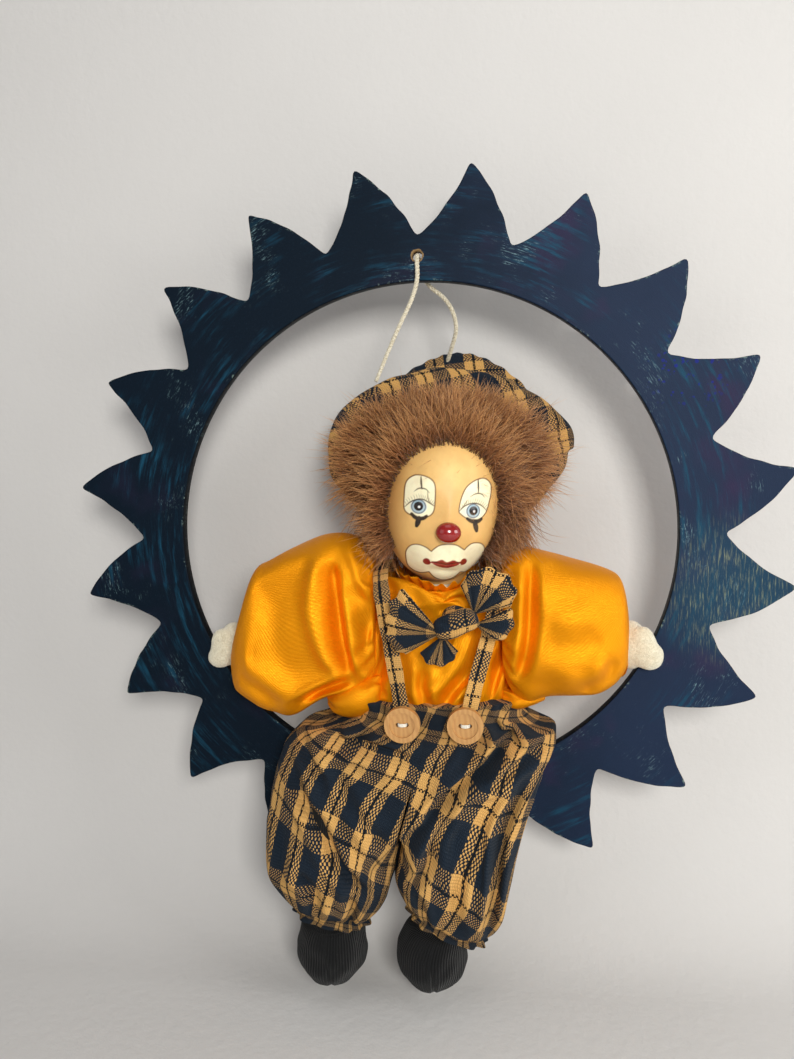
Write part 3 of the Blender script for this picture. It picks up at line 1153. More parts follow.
def make_hat():
    """A soft plaid cap worn on the back of the head: a floppy rim and a gathered crown behind it."""
    columns, around = 260, 28
    turn = np.arange(columns) / columns * 2 * math.pi
    flop = np.stack([np.cos(turn), np.sin(turn), np.zeros(columns)], -1)
    bulge = 1 + 0.03 * waves(flop, 1.6, 41)
    bulge += 0.05 * np.exp(-(((turn - 0.05) / 0.35) ** 2)) - 0.035 * np.exp(-(((turn - 0.85) / 0.22) ** 2))
    path = np.stack([8 + 41.5 * np.cos(turn) * bulge, 15.4 + 1.4 * waves(flop, 1.1, 42),
                     32 + 26.5 * np.sin(turn) * bulge], -1)
    out = np.stack([np.cos(turn), np.zeros(columns), np.sin(turn)], -1)
    section = np.arange(around) / around * 2 * math.pi
    reach, thick = 6.6 * np.cos(section), 2.5 * np.sin(section) * (1 + 0.35 * np.cos(section))
    ripple = np.sin(turn * 46 + 2 * np.sin(turn * 5))[None, :] * 0.35
    ripple = ripple * (0.5 - 0.5 * np.cos(section))[:, None]
    points = path[None] + out[None] * (reach[:, None, None] + 0.6 * waves(flop, 0.4, 43)[None, :, None])
    points = points + np.array([0, 1, 0]) * (thick[:, None] + ripple)[..., None]
    faces, at = grid_faces(around + 1, columns)
    faces = faces % (around * columns)
    place = points[at[..., 0].astype(int) % around, at[..., 1].astype(int) % columns]
    uv = np.stack([place[..., 0] + 0.25 * place[..., 2] + 1.4 * place[..., 1],
                   place[..., 2] - 0.2 * place[..., 0]], -1) * MM
    points = points.reshape(-1, 3)
    faces, uv = face_outward(points, faces, uv)
    brim = smooth_once(add_mesh("hat_rim", points, faces, uv, PLAID))
    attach(brim, HEAD)
    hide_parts("hat_brim")

    rows, columns = 60, 180
    tilt = np.radians(np.linspace(-90, 90, rows))
    turn = np.arange(columns) / columns * 2 * math.pi
    tilt, turn = np.meshgrid(tilt, turn, indexing="ij")
    back = np.where(tilt > 0, 15.0, 3.0)
    gather = 1 + 0.009 * np.sin(turn * 34 + 2 * np.sin(turn * 4)) * np.exp(-((tilt / 0.45) ** 2))
    x = 12 + 37 * np.cos(turn) * np.cos(tilt) * gather
    y = 17.5 + back * np.sin(tilt)
    peak = 3.2 * np.exp(-(((x - 16) / 19) ** 2)) * (np.sin(turn) > 0)
    rise = 35 + (32.8 * np.cos(tilt) * gather + peak) * np.sin(turn)
    points = np.stack([x, y, rise], -1)
    lumps = 1.3 * waves(points.reshape(-1, 3), 17.0, 44) + 0.5 * waves(points.reshape(-1, 3), 7.0, 45)
    lumps = lumps.reshape(rows, columns) * ease(np.sin(tilt), 0.1, 0.7)
    points = points + np.array([0, 1, 0]) * lumps[..., None]
    faces, at = grid_faces(rows, columns)
    place = points[at[..., 0].astype(int), at[..., 1].astype(int) % columns]
    uv = np.stack([place[..., 0] + 0.15 * place[..., 2] + 5,
                   place[..., 2] + place[..., 1] - 0.12 * place[..., 0] + 6], -1) * MM
    points = points.reshape(-1, 3)
    faces, uv = face_outward(points, faces, uv)
    crown = add_mesh("hat_gathered_crown", points, faces, uv, PLAID)
    weld(crown)
    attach(crown, HEAD)
    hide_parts("hat_crown")


# ---------------------------------------------------------------- satin blouse and sleeves


def soft_tube(name, points, material, size=None, body=ROOT, grow=0.0, pressure=0.0, cap=0.0,
              pins=None, bend=0.4, lay=None):
    """A tube of cloth from a grid of points: settled if it has slack to grow into, closed at its ends,
    and laid out for its weave by its flat size in mm or by lay."""
    rows, columns = points.shape[:2]
    flat = points.reshape(-1, 3)
    if grow:
        flat = settle(flat, grid_faces(rows, columns)[0], pins.ravel(), grow, pressure, cap, bend)
    middle = [flat[:columns].mean(0), flat[-columns:].mean(0)]
    flat = np.vstack([np.repeat(middle[:1], columns, 0), flat, np.repeat(middle[1:], columns, 0)])
    faces, at = grid_faces(rows + 2, columns)
    clipped = at.copy()
    clipped[..., 0] = np.clip(at[..., 0] - 1, 0, rows - 1)
    uv = lay(clipped) if lay else flat_cloth(clipped, rows, columns, *size)
    faces, uv = face_outward(flat, faces, uv)
    obj = add_mesh(name, flat, faces, uv, material)
    weld(obj, 1e-5)
    smooth_once(obj)
    if body:
        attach(obj, body)
    return obj


def pins_at(points, reach=0.03):
    """1 at the rows near the ends that are sewn down, 0 elsewhere."""
    rows, columns = points.shape[:2]
    share = np.arange(rows) / (rows - 1)
    held = np.zeros(rows)
    for end in (0, 1):
        held = np.maximum(held, 1 - ease(np.abs(share - end), reach * 0.5, reach * 1.5))
    return np.repeat(held[:, None], columns, 1)


SLEEVES = {
    "left": {
        # x, y, rise, half size over (y), half size up
        "stations": [(-17, -8, -29, 13, 21), (-21, -8.5, -29, 15, 26.6), (-28, -9.5, -29.5, 16.5, 30.5),
                     (-38, -10, -30.6, 17.2, 31), (-50, -10.2, -36.2, 17, 31.6),
                     (-57, -10, -37.4, 16.8, 29), (-62, -9.8, -37.8, 16.6, 26.8),
                     (-65.8, -9.2, -40.4, 15.6, 22), (-69.8, -8, -45.6, 13.6, 15),
                     (-73.2, -6, -49, 10.6, 10), (-74.4, -4, -46.8, 8.4, 8), (-73.4, -3, -46, 7.2, 7.4)],
        # path, depth, width and ridge of each fold; a depth below 0 is a ridge
        "folds": [([(-32.6, -6), (-31.4, -16), (-30.4, -28), (-28.8, -40), (-26.3, -51)], 9.6, 2.0, 0.12),
                  ([(-29.6, -50), (-35, -42), (-38.4, -30), (-39.3, -22), (-36.8, -9), (-32, -2)], -3.8,
                   2.5, 0.0),
                  ([(-30, -1.6), (-26, -3), (-22.6, -10), (-19, -18), (-16, -26)], -3.2, 2.2, 0.0),
                  ([(-25.6, -20), (-24.4, -32), (-22.6, -46), (-15, -56)], -2.8, 2.6, 0.0),
                  ([(-19, -31), (-20.5, -38), (-22, -42)], 2.4, 1.6, 0.2),
                  ([(-26, -51), (-33, -54), (-40, -57.4), (-46, -61)], 4.6, 1.7, 0.5),
                  ([(-52, -18), (-54, -32), (-50, -46), (-40, -52)], 1.3, 4.4, 0.3),
                  ([(-69, -50), (-60, -55), (-52, -62)], 1.3, 3.0, 0.5)],
        "seed": 61,
        "slack": 0.025,
    },
    "right": {
        "stations": [(30, -7, -30, 13, 20), (33.5, -8, -31.6, 15, 26.6), (39, -9, -33, 16.5, 28.8),
                     (46, -9.6, -32.6, 17, 26.6), (56, -10, -33.8, 17, 24.8),
                     (64, -9.8, -34.6, 16.8, 23.4), (70, -9, -34.2, 16, 20.8),
                     (73.4, -8, -33.8, 14.6, 17.6), (75.2, -6.6, -36.4, 12, 12.6),
                     (75.8, -5, -42.6, 9.4, 9), (75.2, -3.6, -45.4, 8, 7.8), (74.4, -3, -46, 7.2, 7.4)],
        "folds": [([(41, -6), (40.6, -20), (39.6, -36), (36, -53)], 4.6, 2.0, 0.35),
                  ([(44, -36), (54, -37.5), (66, -35)], 1.6, 4.8, 0.7),
                  ([(57, -43), (59, -50), (60, -57)], 1.3, 3.0, 0.3),
                  ([(46, -8), (50, -18), (60, -22)], 1.0, 4.0, 0.4),
                  ([(70, -42), (66, -50), (58, -55)], 1.3, 2.6, 0.5)],
        "seed": 62,
        "slack": 0.012,
    },
}


def make_sleeve(side):
    """A wide gathered sleeve that balloons between the shoulder seam and the wrist elastic."""
    plan = SLEEVES[side]
    rows, columns = 70, 116
    points = loft(plan["stations"], rows, columns, (0, 1, 0), (0, 0, 1), 2.7)
    facing = ease(-(points[..., 1] - points[..., 1].mean(1, keepdims=True)), 1.0, 7.0)
    for path, depth, width, ridge in plan["folds"]:
        points = crease(points, path, depth, width, facing, ridge)
    points = pucker(points, 0.0, 1.0, 19, plan["seed"], 0.2)
    points = pucker(points, 1.0, 1.0, 23, plan["seed"] + 9, 0.22)
    points = relax(points, 2)
    soft = 0.7 * waves(points.reshape(-1, 3), 24.0, plan["seed"]).reshape(rows, columns)
    points = points + np.array([0, 1, 0]) * soft[..., None] * 0.7
    sleeve = soft_tube(f"{side}_puff_sleeve", points, SATIN, (170, 62), grow=plan["slack"],
                       pressure=0.25, cap=1.4, pins=pins_at(points), bend=1.6)
    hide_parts(f"{side}_sleeve")


def make_blouse():
    """The body of the blouse, gathered at the neck and the waist, with a small puff at its left hem."""
    rows, columns = 84, 168
    stations = [(8, -4, -18.5, 13.8, 13.8), (8, -4, -15.8, 15.2, 14.6), (7.2, -4, -14.6, 19.5, 16.2),
                (6.2, -4, -16.6, 24.5, 18), (5.4, -4.2, -23.5, 28.2, 19.2), (5.2, -4.6, -34, 28.8, 19.8),
                (5.0, -5.0, -46, 29.4, 20.4), (4.8, -5.4, -57, 29.8, 19.4), (4.5, -5.2, -63, 28.4, 17.4),
                (4.5, -5.0, -67, 26.4, 16.2), (4.5, -5, -69, 25, 15.4)]
    points = loft(stations, rows, columns)
    facing = ease(-(points[..., 1] + 5), 2, 14)
    for path, depth, width, ridge in (
        ([(35.5, -20), (34.5, -34), (29, -50), (25, -62)], 3.2, 1.8, 0.5),
        ([(23, -36), (20, -46), (13, -55), (6, -64)], 3.2, 2.0, 0.6),
        ([(2, -47), (1, -55), (3, -64)], 2.6, 1.8, 0.5),
        ([(-14, -34), (-15, -46), (-18, -58)], 3.0, 2.2, 0.6),
        ([(-20, -22), (-21, -36), (-22, -50)], 2.2, 2.4, 0.5),
        ([(12, -26), (10, -38), (5, -48)], 2.2, 1.7, 0.5),
        ([(-6, -20), (-8, -28), (-10, -36)], 1.4, 1.7, 0.4),
        ([(16, -20), (20, -28), (27, -34)], 1.2, 1.7, 0.4),
        ([(-13.5, -14), (-11.4, -29), (-9.4, -42), (-6, -66)], 1.1, 3.4, 0.0),
        ([(28.5, -14), (27, -29), (23.4, -42), (17, -66)], 1.1, 3.4, 0.0),
    ):
        points = crease(points, path, depth, width, facing, ridge)
    neckline = ease(points[..., 2], -25, -17) * ease(-(points[..., 1] + 4), 0, 9)
    points[..., 2] -= 4.6 * neckline * np.exp(-np.abs((points[..., 0] - 8) / 10) ** 1.6)
    points = pucker(points, 0.0, 0.9, 30, 71, 0.16)
    points = pucker(points, 1.0, 1.3, 27, 72, 0.26)
    blouse = soft_tube("satin_blouse", relax(points, 2), SATIN, (190, 60), grow=0.05,
                       pressure=1.0, cap=2.4, pins=pins_at(points), bend=0.9)
    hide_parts("blouse")

    puff = loft([(-14, -13, -58, 3, 4), (-18, -14.5, -58.5, 6, 6.4), (-25, -14.5, -60, 7.6, 7.2),
                 (-32, -13, -61, 6.6, 6.0), (-37, -11, -61, 3, 2.8)], 36, 48, (0, 1, 0), (0, 0, 1))
    puff = pucker(puff, 0.0, 0.9, 7, 73, 0.5)
    puff = pucker(puff, 1.0, 0.8, 6, 74, 0.5)
    tuck = soft_tube("armhole_tuck_left", puff, SATIN, (48, 26), grow=0.07, pressure=1.0,
                     cap=1.8, pins=pins_at(puff), bend=0.4)
    puff = loft([(30, -12, -60, 3, 3), (35, -13, -61, 5, 3.6), (41, -12, -60.5, 4.6, 2.8),
                 (46, -10, -60, 2.6, 1.8)], 30, 40, (0, 1, 0), (0, 0, 1))
    puff = pucker(puff, 0.0, 0.6, 5, 75, 0.5)
    tuck = soft_tube("armhole_tuck_right", puff, SATIN, (36, 18))


def make_collar():
    """A narrow satin frill round the neck, with a thread wound under it."""
    columns, rows = 240, 9
    turn = np.arange(columns) / columns * 2 * math.pi
    share = np.linspace(0, 1, rows)
    frill = np.sin(turn * 24 + 1.5 * np.sin(turn * 3))
    radius = 12.4 + 5.6 * share[:, None] + 0.7 * share[:, None] * frill[None]
    rise = -20.6 + 7.4 * share[:, None] ** 1.2 * (1 + 0.07 * frill[None])
    rise = rise + 0.66 * share[:, None] * np.cos(turn * 24)[None]
    dip = sum(-3.2 * np.exp(-(((turn - middle) / 0.42) ** 2)) for middle in (0.06, 2 * math.pi + 0.06))
    points = np.stack([8 + radius * np.sin(turn), -4 - radius * np.cos(turn), rise + dip * share[:, None]],
                      -1)
    faces, at = grid_faces(rows, columns)
    uv = flat_cloth(at, rows, columns, 190, 6)
    frill = add_mesh("neck_frill", points.reshape(-1, 3), faces, uv, SATIN)
    frill.modifiers.new("cloth", "SOLIDIFY").thickness = 0.3 * MM
    smooth_once(keep_shape(frill))
    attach(frill, ROOT)
    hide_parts("collar")
    winds = []
    for k in range(3):
        winds.append([(8 + 13.1 * math.sin(t), -4 - 13.1 * math.cos(t),
                       -18.9 + 0.45 * k) for t in np.linspace(0, 2 * math.pi, 73)[:-1]])
    tie = add_tubes("neck_thread", winds, 0.26, 8, THREAD, closed=True)
    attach(tie, ROOT)
    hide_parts("neck_tie")


# ---------------------------------------------------------------- stuffed body, arms and hands

NECK = (8, -4)
WRISTS = {"left": (-73, -3, -46), "right": (74, -3, -46)}


def make_torso():
    """The muslin body with a well in its top for the neck, and two plain stuffed arms."""
    stations = [(5, -4, -73.4, 13, 9), (5, -4, -71.5, 20.5, 13.6), (5, -4, -64, 23.4, 15.6),
                (5, -4, -46, 23.4, 15.6), (5, -4, -30, 22.8, 15.2), (6, -4, -23.5, 19, 14),
                (*NECK, -20, 13.4, 12.8), (*NECK, -17.4, 12.2, 12.2), (*NECK, -17, 11.2, 11.2),
                (*NECK, -18.2, 10.5, 10.5), (*NECK, -24, 10.2, 10.2), (*NECK, -27, 9.8, 9.8)]
    points = loft(stations, 70, 96)
    torso = soft_tube("stuffed_torso", points, MUSLIN, (130, 60))
    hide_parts("torso")
    for side, wrist in WRISTS.items():
        out = -1 if side == "left" else 1
        start = np.array([5 + out * 21, -7, -31])
        line = np.linspace(start, np.array(wrist) - (out * 1.0, 0, 0), 9)
        line[:, 2] -= 1.6 * np.sin(np.linspace(0, math.pi, 9))
        stations = [(*p, r, r) for p, r in zip(line, (5.4, 5.9, 5.7, 5.5, 5.6, 5.7, 5.6, 5.4, 5.0))]
        arm = soft_tube(f"{side}_stuffed_arm", loft(stations, 50, 40, (0, 1, 0), (0, 0, 1)), MUSLIN,
                        (36, 52))
        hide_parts(f"{side}_arm")


HANDS = {
    # x, y, rise and the half sizes of the lobes of a mitten; the ring's rim lies between front and back
    "left": [(-77.2, -1.6, -43.4, 6.2, 6.4, 9.0), (-80.4, -5.6, -41.4, 4.8, 2.8, 5.4),
             (-81.8, -5.9, -47.6, 5.0, 2.9, 4.6), (-84.6, 5.6, -45.6, 5.2, 2.8, 6.2),
             (-80.0, 3.6, -44.0, 4.4, 3.8, 7.0), (-80.4, -5.4, -44.6, 5.2, 3.2, 6.8)],
    "right": [(78.6, -1.6, -42.6, 6.6, 6.4, 9.4), (82.0, -5.8, -40.6, 5.2, 2.9, 6.2),
              (85.0, -6.0, -45.8, 5.2, 3.0, 5.6), (85.8, 5.6, -45.6, 5.4, 2.8, 6.2),
              (81.6, 3.6, -43.6, 4.6, 3.8, 7.0), (82.8, -5.6, -43.4, 5.4, 3.2, 7.4)],
}


def make_hand(side):
    """A felt mitten that grips the ring's rim between its fingers and its palm."""
    parts, faces, base = [], [], 0
    for x, y, rise, wide, deep, tall in HANDS[side]:
        points, _, quads = ball_points((x, y, rise), (wide, deep, tall), 21, 32)
        parts.append(points)
        faces.append(quads + base)
        base += len(points)
    hand = weld(add_mesh(f"{side}_felt_mitten", np.vstack(parts), np.vstack(faces), material=FELT))
    remesh = hand.modifiers.new("felted", "REMESH")
    remesh.mode = "VOXEL"
    remesh.voxel_size = 0.5 * MM
    smooth = hand.modifiers.new("soft", "SMOOTH")
    smooth.iterations = 24
    keep_shape(hand)
    places = np.array([v.co for v in hand.data.vertices], float)
    normals = np.array([v.normal for v in hand.data.vertices], float)
    lumps = 0.07 * waves(places / MM, 5.0, 81) + 0.035 * waves(places / MM, 1.4, 82)
    places += normals * (lumps * MM)[:, None]
    hand.data.vertices.foreach_set("co", places.astype(np.float32).ravel())
    hand.data.polygons.foreach_set("use_smooth", np.full(len(hand.data.polygons), True))
    hand.data.update()
    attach(hand, ROOT)
    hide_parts(f"{side}_hand")


def shirred_ring(name, node, centre, half_across, half_over, across, over, body, thick=0.7):
    """Covered elastic round a wrist, an ankle or the waist, ribbed where the cloth is drawn up on it."""
    turn = np.linspace(0, 2 * math.pi, 181)[:-1]
    centre, across, over = (np.asarray(v, float) for v in (centre, across, over))
    path = centre + half_across * np.cos(turn)[:, None] * across + half_over * np.sin(turn)[:, None] * over
    points, faces = tube(path, thick * (1 + 0.22 * np.sin(turn * 45)), 10, True)
    ring = add_mesh(name, points, faces, material=ELASTIC)
    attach(ring, body)
    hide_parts(node)


# ---------------------------------------------------------------- braces, buttons and bow

BRACES = {
    "left": [(-5.9, -27.4, -68), (-6.6, -27.6, -60), (-8.4, -27.0, -48), (-10.4, -26.6, -36),
             (-12.2, -26.0, -25), (-13.6, -23.4, -16), (-14.4, -17.0, -11.6), (-14.6, -7.0, -10.4),
             (-14.4, 4.0, -10.8), (-14.0, 12.6, -14.0), (-12.6, 17.2, -22), (-9.8, 18.2, -38),
             (-7.0, 17.8, -56), (-6.0, 17.4, -67)],
    "right": [(16.8, -27.4, -68), (18.4, -27.6, -60), (21.4, -26.4, -48), (24.6, -24.4, -37),
              (27.2, -22.4, -27), (28.6, -19.4, -18), (28.2, -13.4, -12.6), (27.0, -4.0, -11.0),
              (26.0, 5.0, -11.6), (24.6, 12.4, -15.0), (22.6, 16.8, -23), (19.8, 18.2, -38),
              (17.8, 17.8, -56), (17.0, 17.4, -67)],
}
BRACE_WIDTH, BRACE_THICK = 6.0, 0.9


def make_brace(side):
    """A folded plaid strap with a row of stitches along each edge."""
    rows = 150
    path = through(BRACES[side], rows)
    along = unit_rows(np.gradient(path, axis=0))
    outward = unit_rows((path - (6, -4.5, -42)) * (0.35, 1, 0.9))
    across = unit_rows(np.cross(along, outward))
    outward = np.cross(across, along)
    half, rise = BRACE_WIDTH / 2, BRACE_THICK / 2
    edge = [(-1.0, -0.6), (-1.0, 0.6), (-0.96, 1.0), (-0.84, 0.72), (-0.76, 1.0), (-0.4, 1.05), (0.0, 0.9),
            (0.4, 1.05), (0.76, 1.0), (0.84, 0.72), (0.96, 1.0), (1.0, 0.6), (1.0, -0.6), (0.5, -1.0),
            (0.0, -1.0), (-0.5, -1.0)]
    edge = np.array(edge)
    wobble = 0.16 * waves(path, 8.0, 91)[:, None]
    points = path[:, None] + across[:, None] * (edge[:, 0] * (half + wobble))[..., None]
    points = points + outward[:, None] * (edge[:, 1] * rise)[None, :, None]
    shift = (0.0 if side == "left" else 9.0) * MM
    length = float(np.linalg.norm(np.diff(path, axis=0), axis=1).sum())
    widths = np.append(edge[:, 0] * half + 4.3, edge[0, 0] * half + 4.3) * MM

    def lay(at):
        return np.stack([widths[at[..., 1].astype(int)], at[..., 0] / (rows - 1) * length * MM + shift], -1)

    brace = soft_tube(f"{side}_strap", points, PLAID, lay=lay)
    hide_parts(f"{side}_brace")


def make_button(side):
    """Keeps the CAD button, eases its edges and sews it on with four strands of thread."""
    button = NODES[f"{side}_button"]
    button.data.materials.clear()
    button.data.materials.append(WOOD)
    ease_edges = button.modifiers.new("eased", "BEVEL")
    ease_edges.width, ease_edges.segments = 0.35 * MM, 3
    ease_edges.limit_method, ease_edges.angle_limit = "ANGLE", math.radians(40)
    button.data.polygons.foreach_set("use_smooth", np.full(len(button.data.polygons), True))
    low, high = (millimetres(corner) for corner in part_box(f"{side}_button"))
    x, _, rise = (low + high) / 2
    floor = low[1] + 0.8
    strands = []
    for k in range(4):
        shift = (k - 1.5) * 0.3
        arc = [(-1.6, 1.6), (-1.45, 0.2), (-1.0, -0.42), (0, -0.62), (1.0, -0.42), (1.45, 0.2), (1.6, 1.6)]
        strands.append(through([(x + a, floor + b, rise + shift * (1 - 0.12 * abs(a))) for a, b in arc],
                               25))
    thread = add_tubes(f"{side}_thread_strands", strands, 0.2, 8, THREAD)
    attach(thread, ROOT)
    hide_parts(f"{side}_button_thread")


FANS = {
    # its CAD node, apex (x, y, rise), (angle, reach) round its outer edge, number of pleats and puff
    "left_fan": ("bow_left_fan", (8.8, -32.2, -31.7),
                 [(129, 20.6), (143, 21.2), (156, 20.6), (172, 20.0), (188, 19.4), (202, 17.2),
                  (211, 15.0)], 5, 2.4),
    "right_fan": ("bow_right_fan", (20.4, -33.2, -24.6),
                  [(114, 10.8), (98, 14.4), (80, 16.8), (60, 18.0), (42, 18.2), (26, 16.6), (12, 13.0)], 5,
                  2.5),
    "right_wing": ("bow_right_wing", (20.8, -31.2, -28.4),
                   [(26, 13.6), (12, 14.0), (-3, 13.4), (-18, 12.4), (-34, 10.6), (-50, 7.6)], 3, 2.0),
    "tail": ("bow_tail", (9.2, -30.8, -32.6),
             [(-46, 7.8), (-62, 9.2), (-82, 10.8), (-104, 11.6), (-124, 11.6), (-142, 10.2)], 4, 1.9),
}


def make_fan(name):
    """One loop of the bow: a doubled strip of plaid whose pleats spread from the knot."""
    node, apex, outer, pleats, puff = FANS[name]
    around, rows = 86, 34
    angle, reach = through(outer, around).T
    angle = np.radians(angle)
    share = np.linspace(0.04, 1, rows)[:, None]
    u = np.linspace(0, 1, around)[None, :]
    fold = np.abs(np.sin(u * pleats * math.pi)) ** 0.7 - 0.55
    swell = np.sin(np.clip(share * 1.06, 0, 1) * math.pi / 2) * np.sqrt(np.clip(1 - share**6, 0, 1))
    side = np.sqrt(np.clip(1 - np.abs(2 * u - 1) ** 5, 0, 1))
    seed = len(name) + pleats
    edge = 1 + 0.03 * np.sin(u * pleats * 2 * math.pi + seed) * share
    x = apex[0] + np.cos(angle) * reach * share * edge
    rise = apex[2] + np.sin(angle) * reach * share * edge
    depth = puff * (0.3 + 0.7 * swell) * side
    front = apex[1] - depth - 1.15 * fold * share**0.6 * side * (1 - 0.55 * share**5)
    back = apex[1] + depth * 0.55 + 0.5 * fold * share
    seam = apex[1] - 0.1
    rim = share**8
    front = front * (1 - rim) + seam * rim
    back = back * (1 - rim) + seam * rim
    x, rise = (np.broadcast_to(v, front.shape) for v in (x, rise))
    both = [np.stack([x, y, rise], -1) for y in (front, back)]
    wrapped = np.concatenate([both[0], both[1][:, ::-1]], 1)
    columns = wrapped.shape[1]
    flat = wrapped.reshape(-1, 3)
    ends = np.vstack([np.tile(flat[:columns].mean(0), (columns, 1)), flat])
    faces, at = grid_faces(rows + 1, columns)
    width, length = 2.2 * WARP_REPEAT * pleats / 5, float(np.mean(reach)) * MM
    band = 4.6 if name == "left_fan" else 9.5
    folded = np.abs((at[..., 1] / columns * 2 + 1) % 2 - 1)
    uv = np.stack([folded * width + 0.003, np.clip(at[..., 0] - 1, 0, rows) / rows * length + band * MM],
                  -1)
    faces, uv = face_outward(ends, faces, uv)
    fan = add_mesh(f"bow_{name}_pleated", ends, faces, uv, PLAID)
    weld(fan, 2e-5)
    smooth_once(fan)
    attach(fan, ROOT)
    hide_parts(node)


def make_bow_band():
    """The middle of the bow, a strip wound round the knot and slanting up to the right, and the loop
    behind it that joins it to the blouse."""
    stations = [(6.8, -31.8, -31.0, 1.8, 2.8), (8.4, -33.0, -30.2, 2.8, 3.9),
                (12.6, -33.8, -28.6, 3.0, 4.5), (17.0, -34.2, -26.6, 3.0, 4.3),
                (20.2, -33.6, -26.0, 2.8, 3.6), (21.8, -32.6, -25.8, 1.8, 2.6)]
    points = loft(stations, 40, 60, (0, 1, 0), (-0.28, 0, 0.96), 2.6)
    points = crease(points, [(8, -27), (13, -27.4), (20, -26.4)], 0.8, 0.7, 1, 0.5)
    points = crease(points, [(8, -31.4), (14, -29.6), (21, -27.6)], 0.6, 0.7, 1, 0.5)

    def lay(at):
        return flat_cloth(at, 40, 60, 30, 17, 0.12, (9.4, 11.2))

    band = soft_tube("bow_wound_band", points, PLAID, lay=lay)
    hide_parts("bow_band")
    stations = [(13.4, -32.6, -28.2, 2.6, 2.4), (13.4, -31, -28.2, 4.4, 3.2), (13.4, -27, -27.8, 4.6, 3.4),
                (13.4, -22.6, -27, 4.8, 3.8)]
    loop = soft_tube("bow_neck_loop", loft(stations, 18, 36, (1, 0, 0), (0, 0, 1)), PLAID, (26, 12))


# ---------------------------------------------------------------- trousers and legs

# rise, left edge, right edge, middle in depth and half depth of the seat, down to the crotch
SEAT = np.array([(-60.5, -29, 38.2, -5.6, 20.8), (-63.5, -28, 37.2, -5.6, 20), (-67.5, -28, 36.6, -6, 19.6),
                 (-70.5, -37, 43, -6.6, 21), (-73, -46.4, 49.2, -8.5, 22.6), (-78, -52, 48.8, -11, 24.2),
                 (-86, -54.8, 45.4, -14, 25), (-95, -56.7, 43.2, -17, 25), (-105, -58, 40, -19.7, 24.2),
                 (-118, -58, 36, -23, 22)], float)
SEAM = ((-118, -108, -62), (-9.3, -8.2, 4.6))
LEGS = {
    # x, y, rise and half sizes of each leg by itself
    "left": [(-10.6, -5.6, -60.5, 18.6, 20.8), (-10.6, -5.6, -63.5, 17.2, 20),
             (-11, -6, -67.5, 16.6, 19.6), (-17, -6.6, -70.5, 20, 21), (-20, -8.5, -73, 26.4, 22.6),
             (-23.4, -11, -78, 28.6, 24.2), (-26, -14, -86, 28.8, 25), (-28.5, -17, -95, 28.2, 25),
             (-31.6, -19.6, -105, 26.6, 24.2), (-33.6, -22.2, -115, 25, 22.2),
             (-34.4, -25, -125, 23.4, 19.4), (-34.2, -27.4, -131.5, 20.6, 17.8),
             (-34, -29.2, -136, 17.4, 15.6), (-33.8, -30.2, -138.4, 13.6, 13),
             (-33.6, -30.4, -140, 13.4, 13), (-33.6, -30.6, -141.4, 14.6, 14.2)],
    "right": [(19.6, -5.6, -60.5, 18.6, 20.8), (19.6, -5.6, -63.5, 17.2, 20), (20, -6, -67.5, 16.4, 19.6),
              (22.6, -6.6, -70.5, 20, 21), (25, -8.5, -73, 24.4, 22.6), (24.6, -11, -78, 24, 24.2),
              (22.8, -14, -86, 22.6, 25), (20.4, -17, -95, 22.8, 25), (17, -19.8, -105, 23, 24.2),
              (14, -22.8, -115, 22.6, 22.2), (11.8, -26, -126, 21.4, 19.6),
              (10.4, -28.2, -132.4, 19.2, 17.6), (9.4, -29.8, -137, 16.6, 15.6),
              (8.8, -30.4, -139.4, 13.4, 13), (8.8, -30.6, -141, 13.4, 13),
              (9, -30.8, -142.6, 14.8, 14.2)],
}
# how far each cuff's ring leans over for each mm across, and how much it is lifted, in mm
DROOP = {"left": (0.2, 4.6), "right": (0.42, 3.4)}
FOLDS = [
    # path, depth, width and ridge of each fold
    ([(36, -68), (24, -80), (11, -89), (3, -98), (-5, -106), (-9, -113)], 7.2, 2.1, 0.7),
    ([(-48, -80), (-43, -92), (-36, -100), (-31, -109), (-24, -119), (-17, -127)], 4.2, 2.3, 0.6),
    ([(-34, -69), (-29, -74), (-18, -74), (-8, -77), (-1, -79)], 4.4, 1.9, 0.6),
    ([(-30, -82), (-24, -92), (-15, -103), (-11, -109)], 3.2, 2.0, 0.5),
    ([(-53, -100), (-50, -112), (-51, -124)], 2.8, 2.2, 0.5),
    ([(-44, -116), (-38, -126), (-37, -137)], 3.4, 1.9, 0.6),
    ([(-26, -124), (-24, -131), (-26, -139)], 2.8, 1.6, 0.5),
    ([(-46, -73), (-40, -80), (-33, -88)], 3.4, 2.0, 0.6),
    ([(13, -91), (6, -103), (4, -113), (-3, -124)], 4.2, 2.0, 0.6),
    ([(38, -86), (31, -101), (28.5, -118), (24.5, -138)], 5.0, 2.0, 0.7),
    ([(46, -75), (36, -79), (28, -84), (18, -86)], 3.8, 2.0, 0.6),
    ([(18, -108), (14, -122), (13, -136)], 2.9, 2.0, 0.5),
    ([(0, -126), (2, -134), (4, -141)], 2.8, 1.7, 0.5),
    ([(12, -70), (10, -76), (4, -82)], 2.8, 1.6, 0.5),
    ([(-16, -66), (-20, -71), (-28, -76)], 2.6, 1.4, 0.5),
    ([(26, -66), (30, -71), (38, -76)], 2.8, 1.4, 0.5),
]
WALL = math.radians(50)
# how the plaid lies on the trousers: its turn, its place (m), how dense it is across and its length (mm)
TROUSER_GRAIN, TROUSER_SHIFT = -0.22, np.array([0.0042, 0.0035])
TROUSER_DENSITY, TROUSER_LENGTH = 1.14, 104


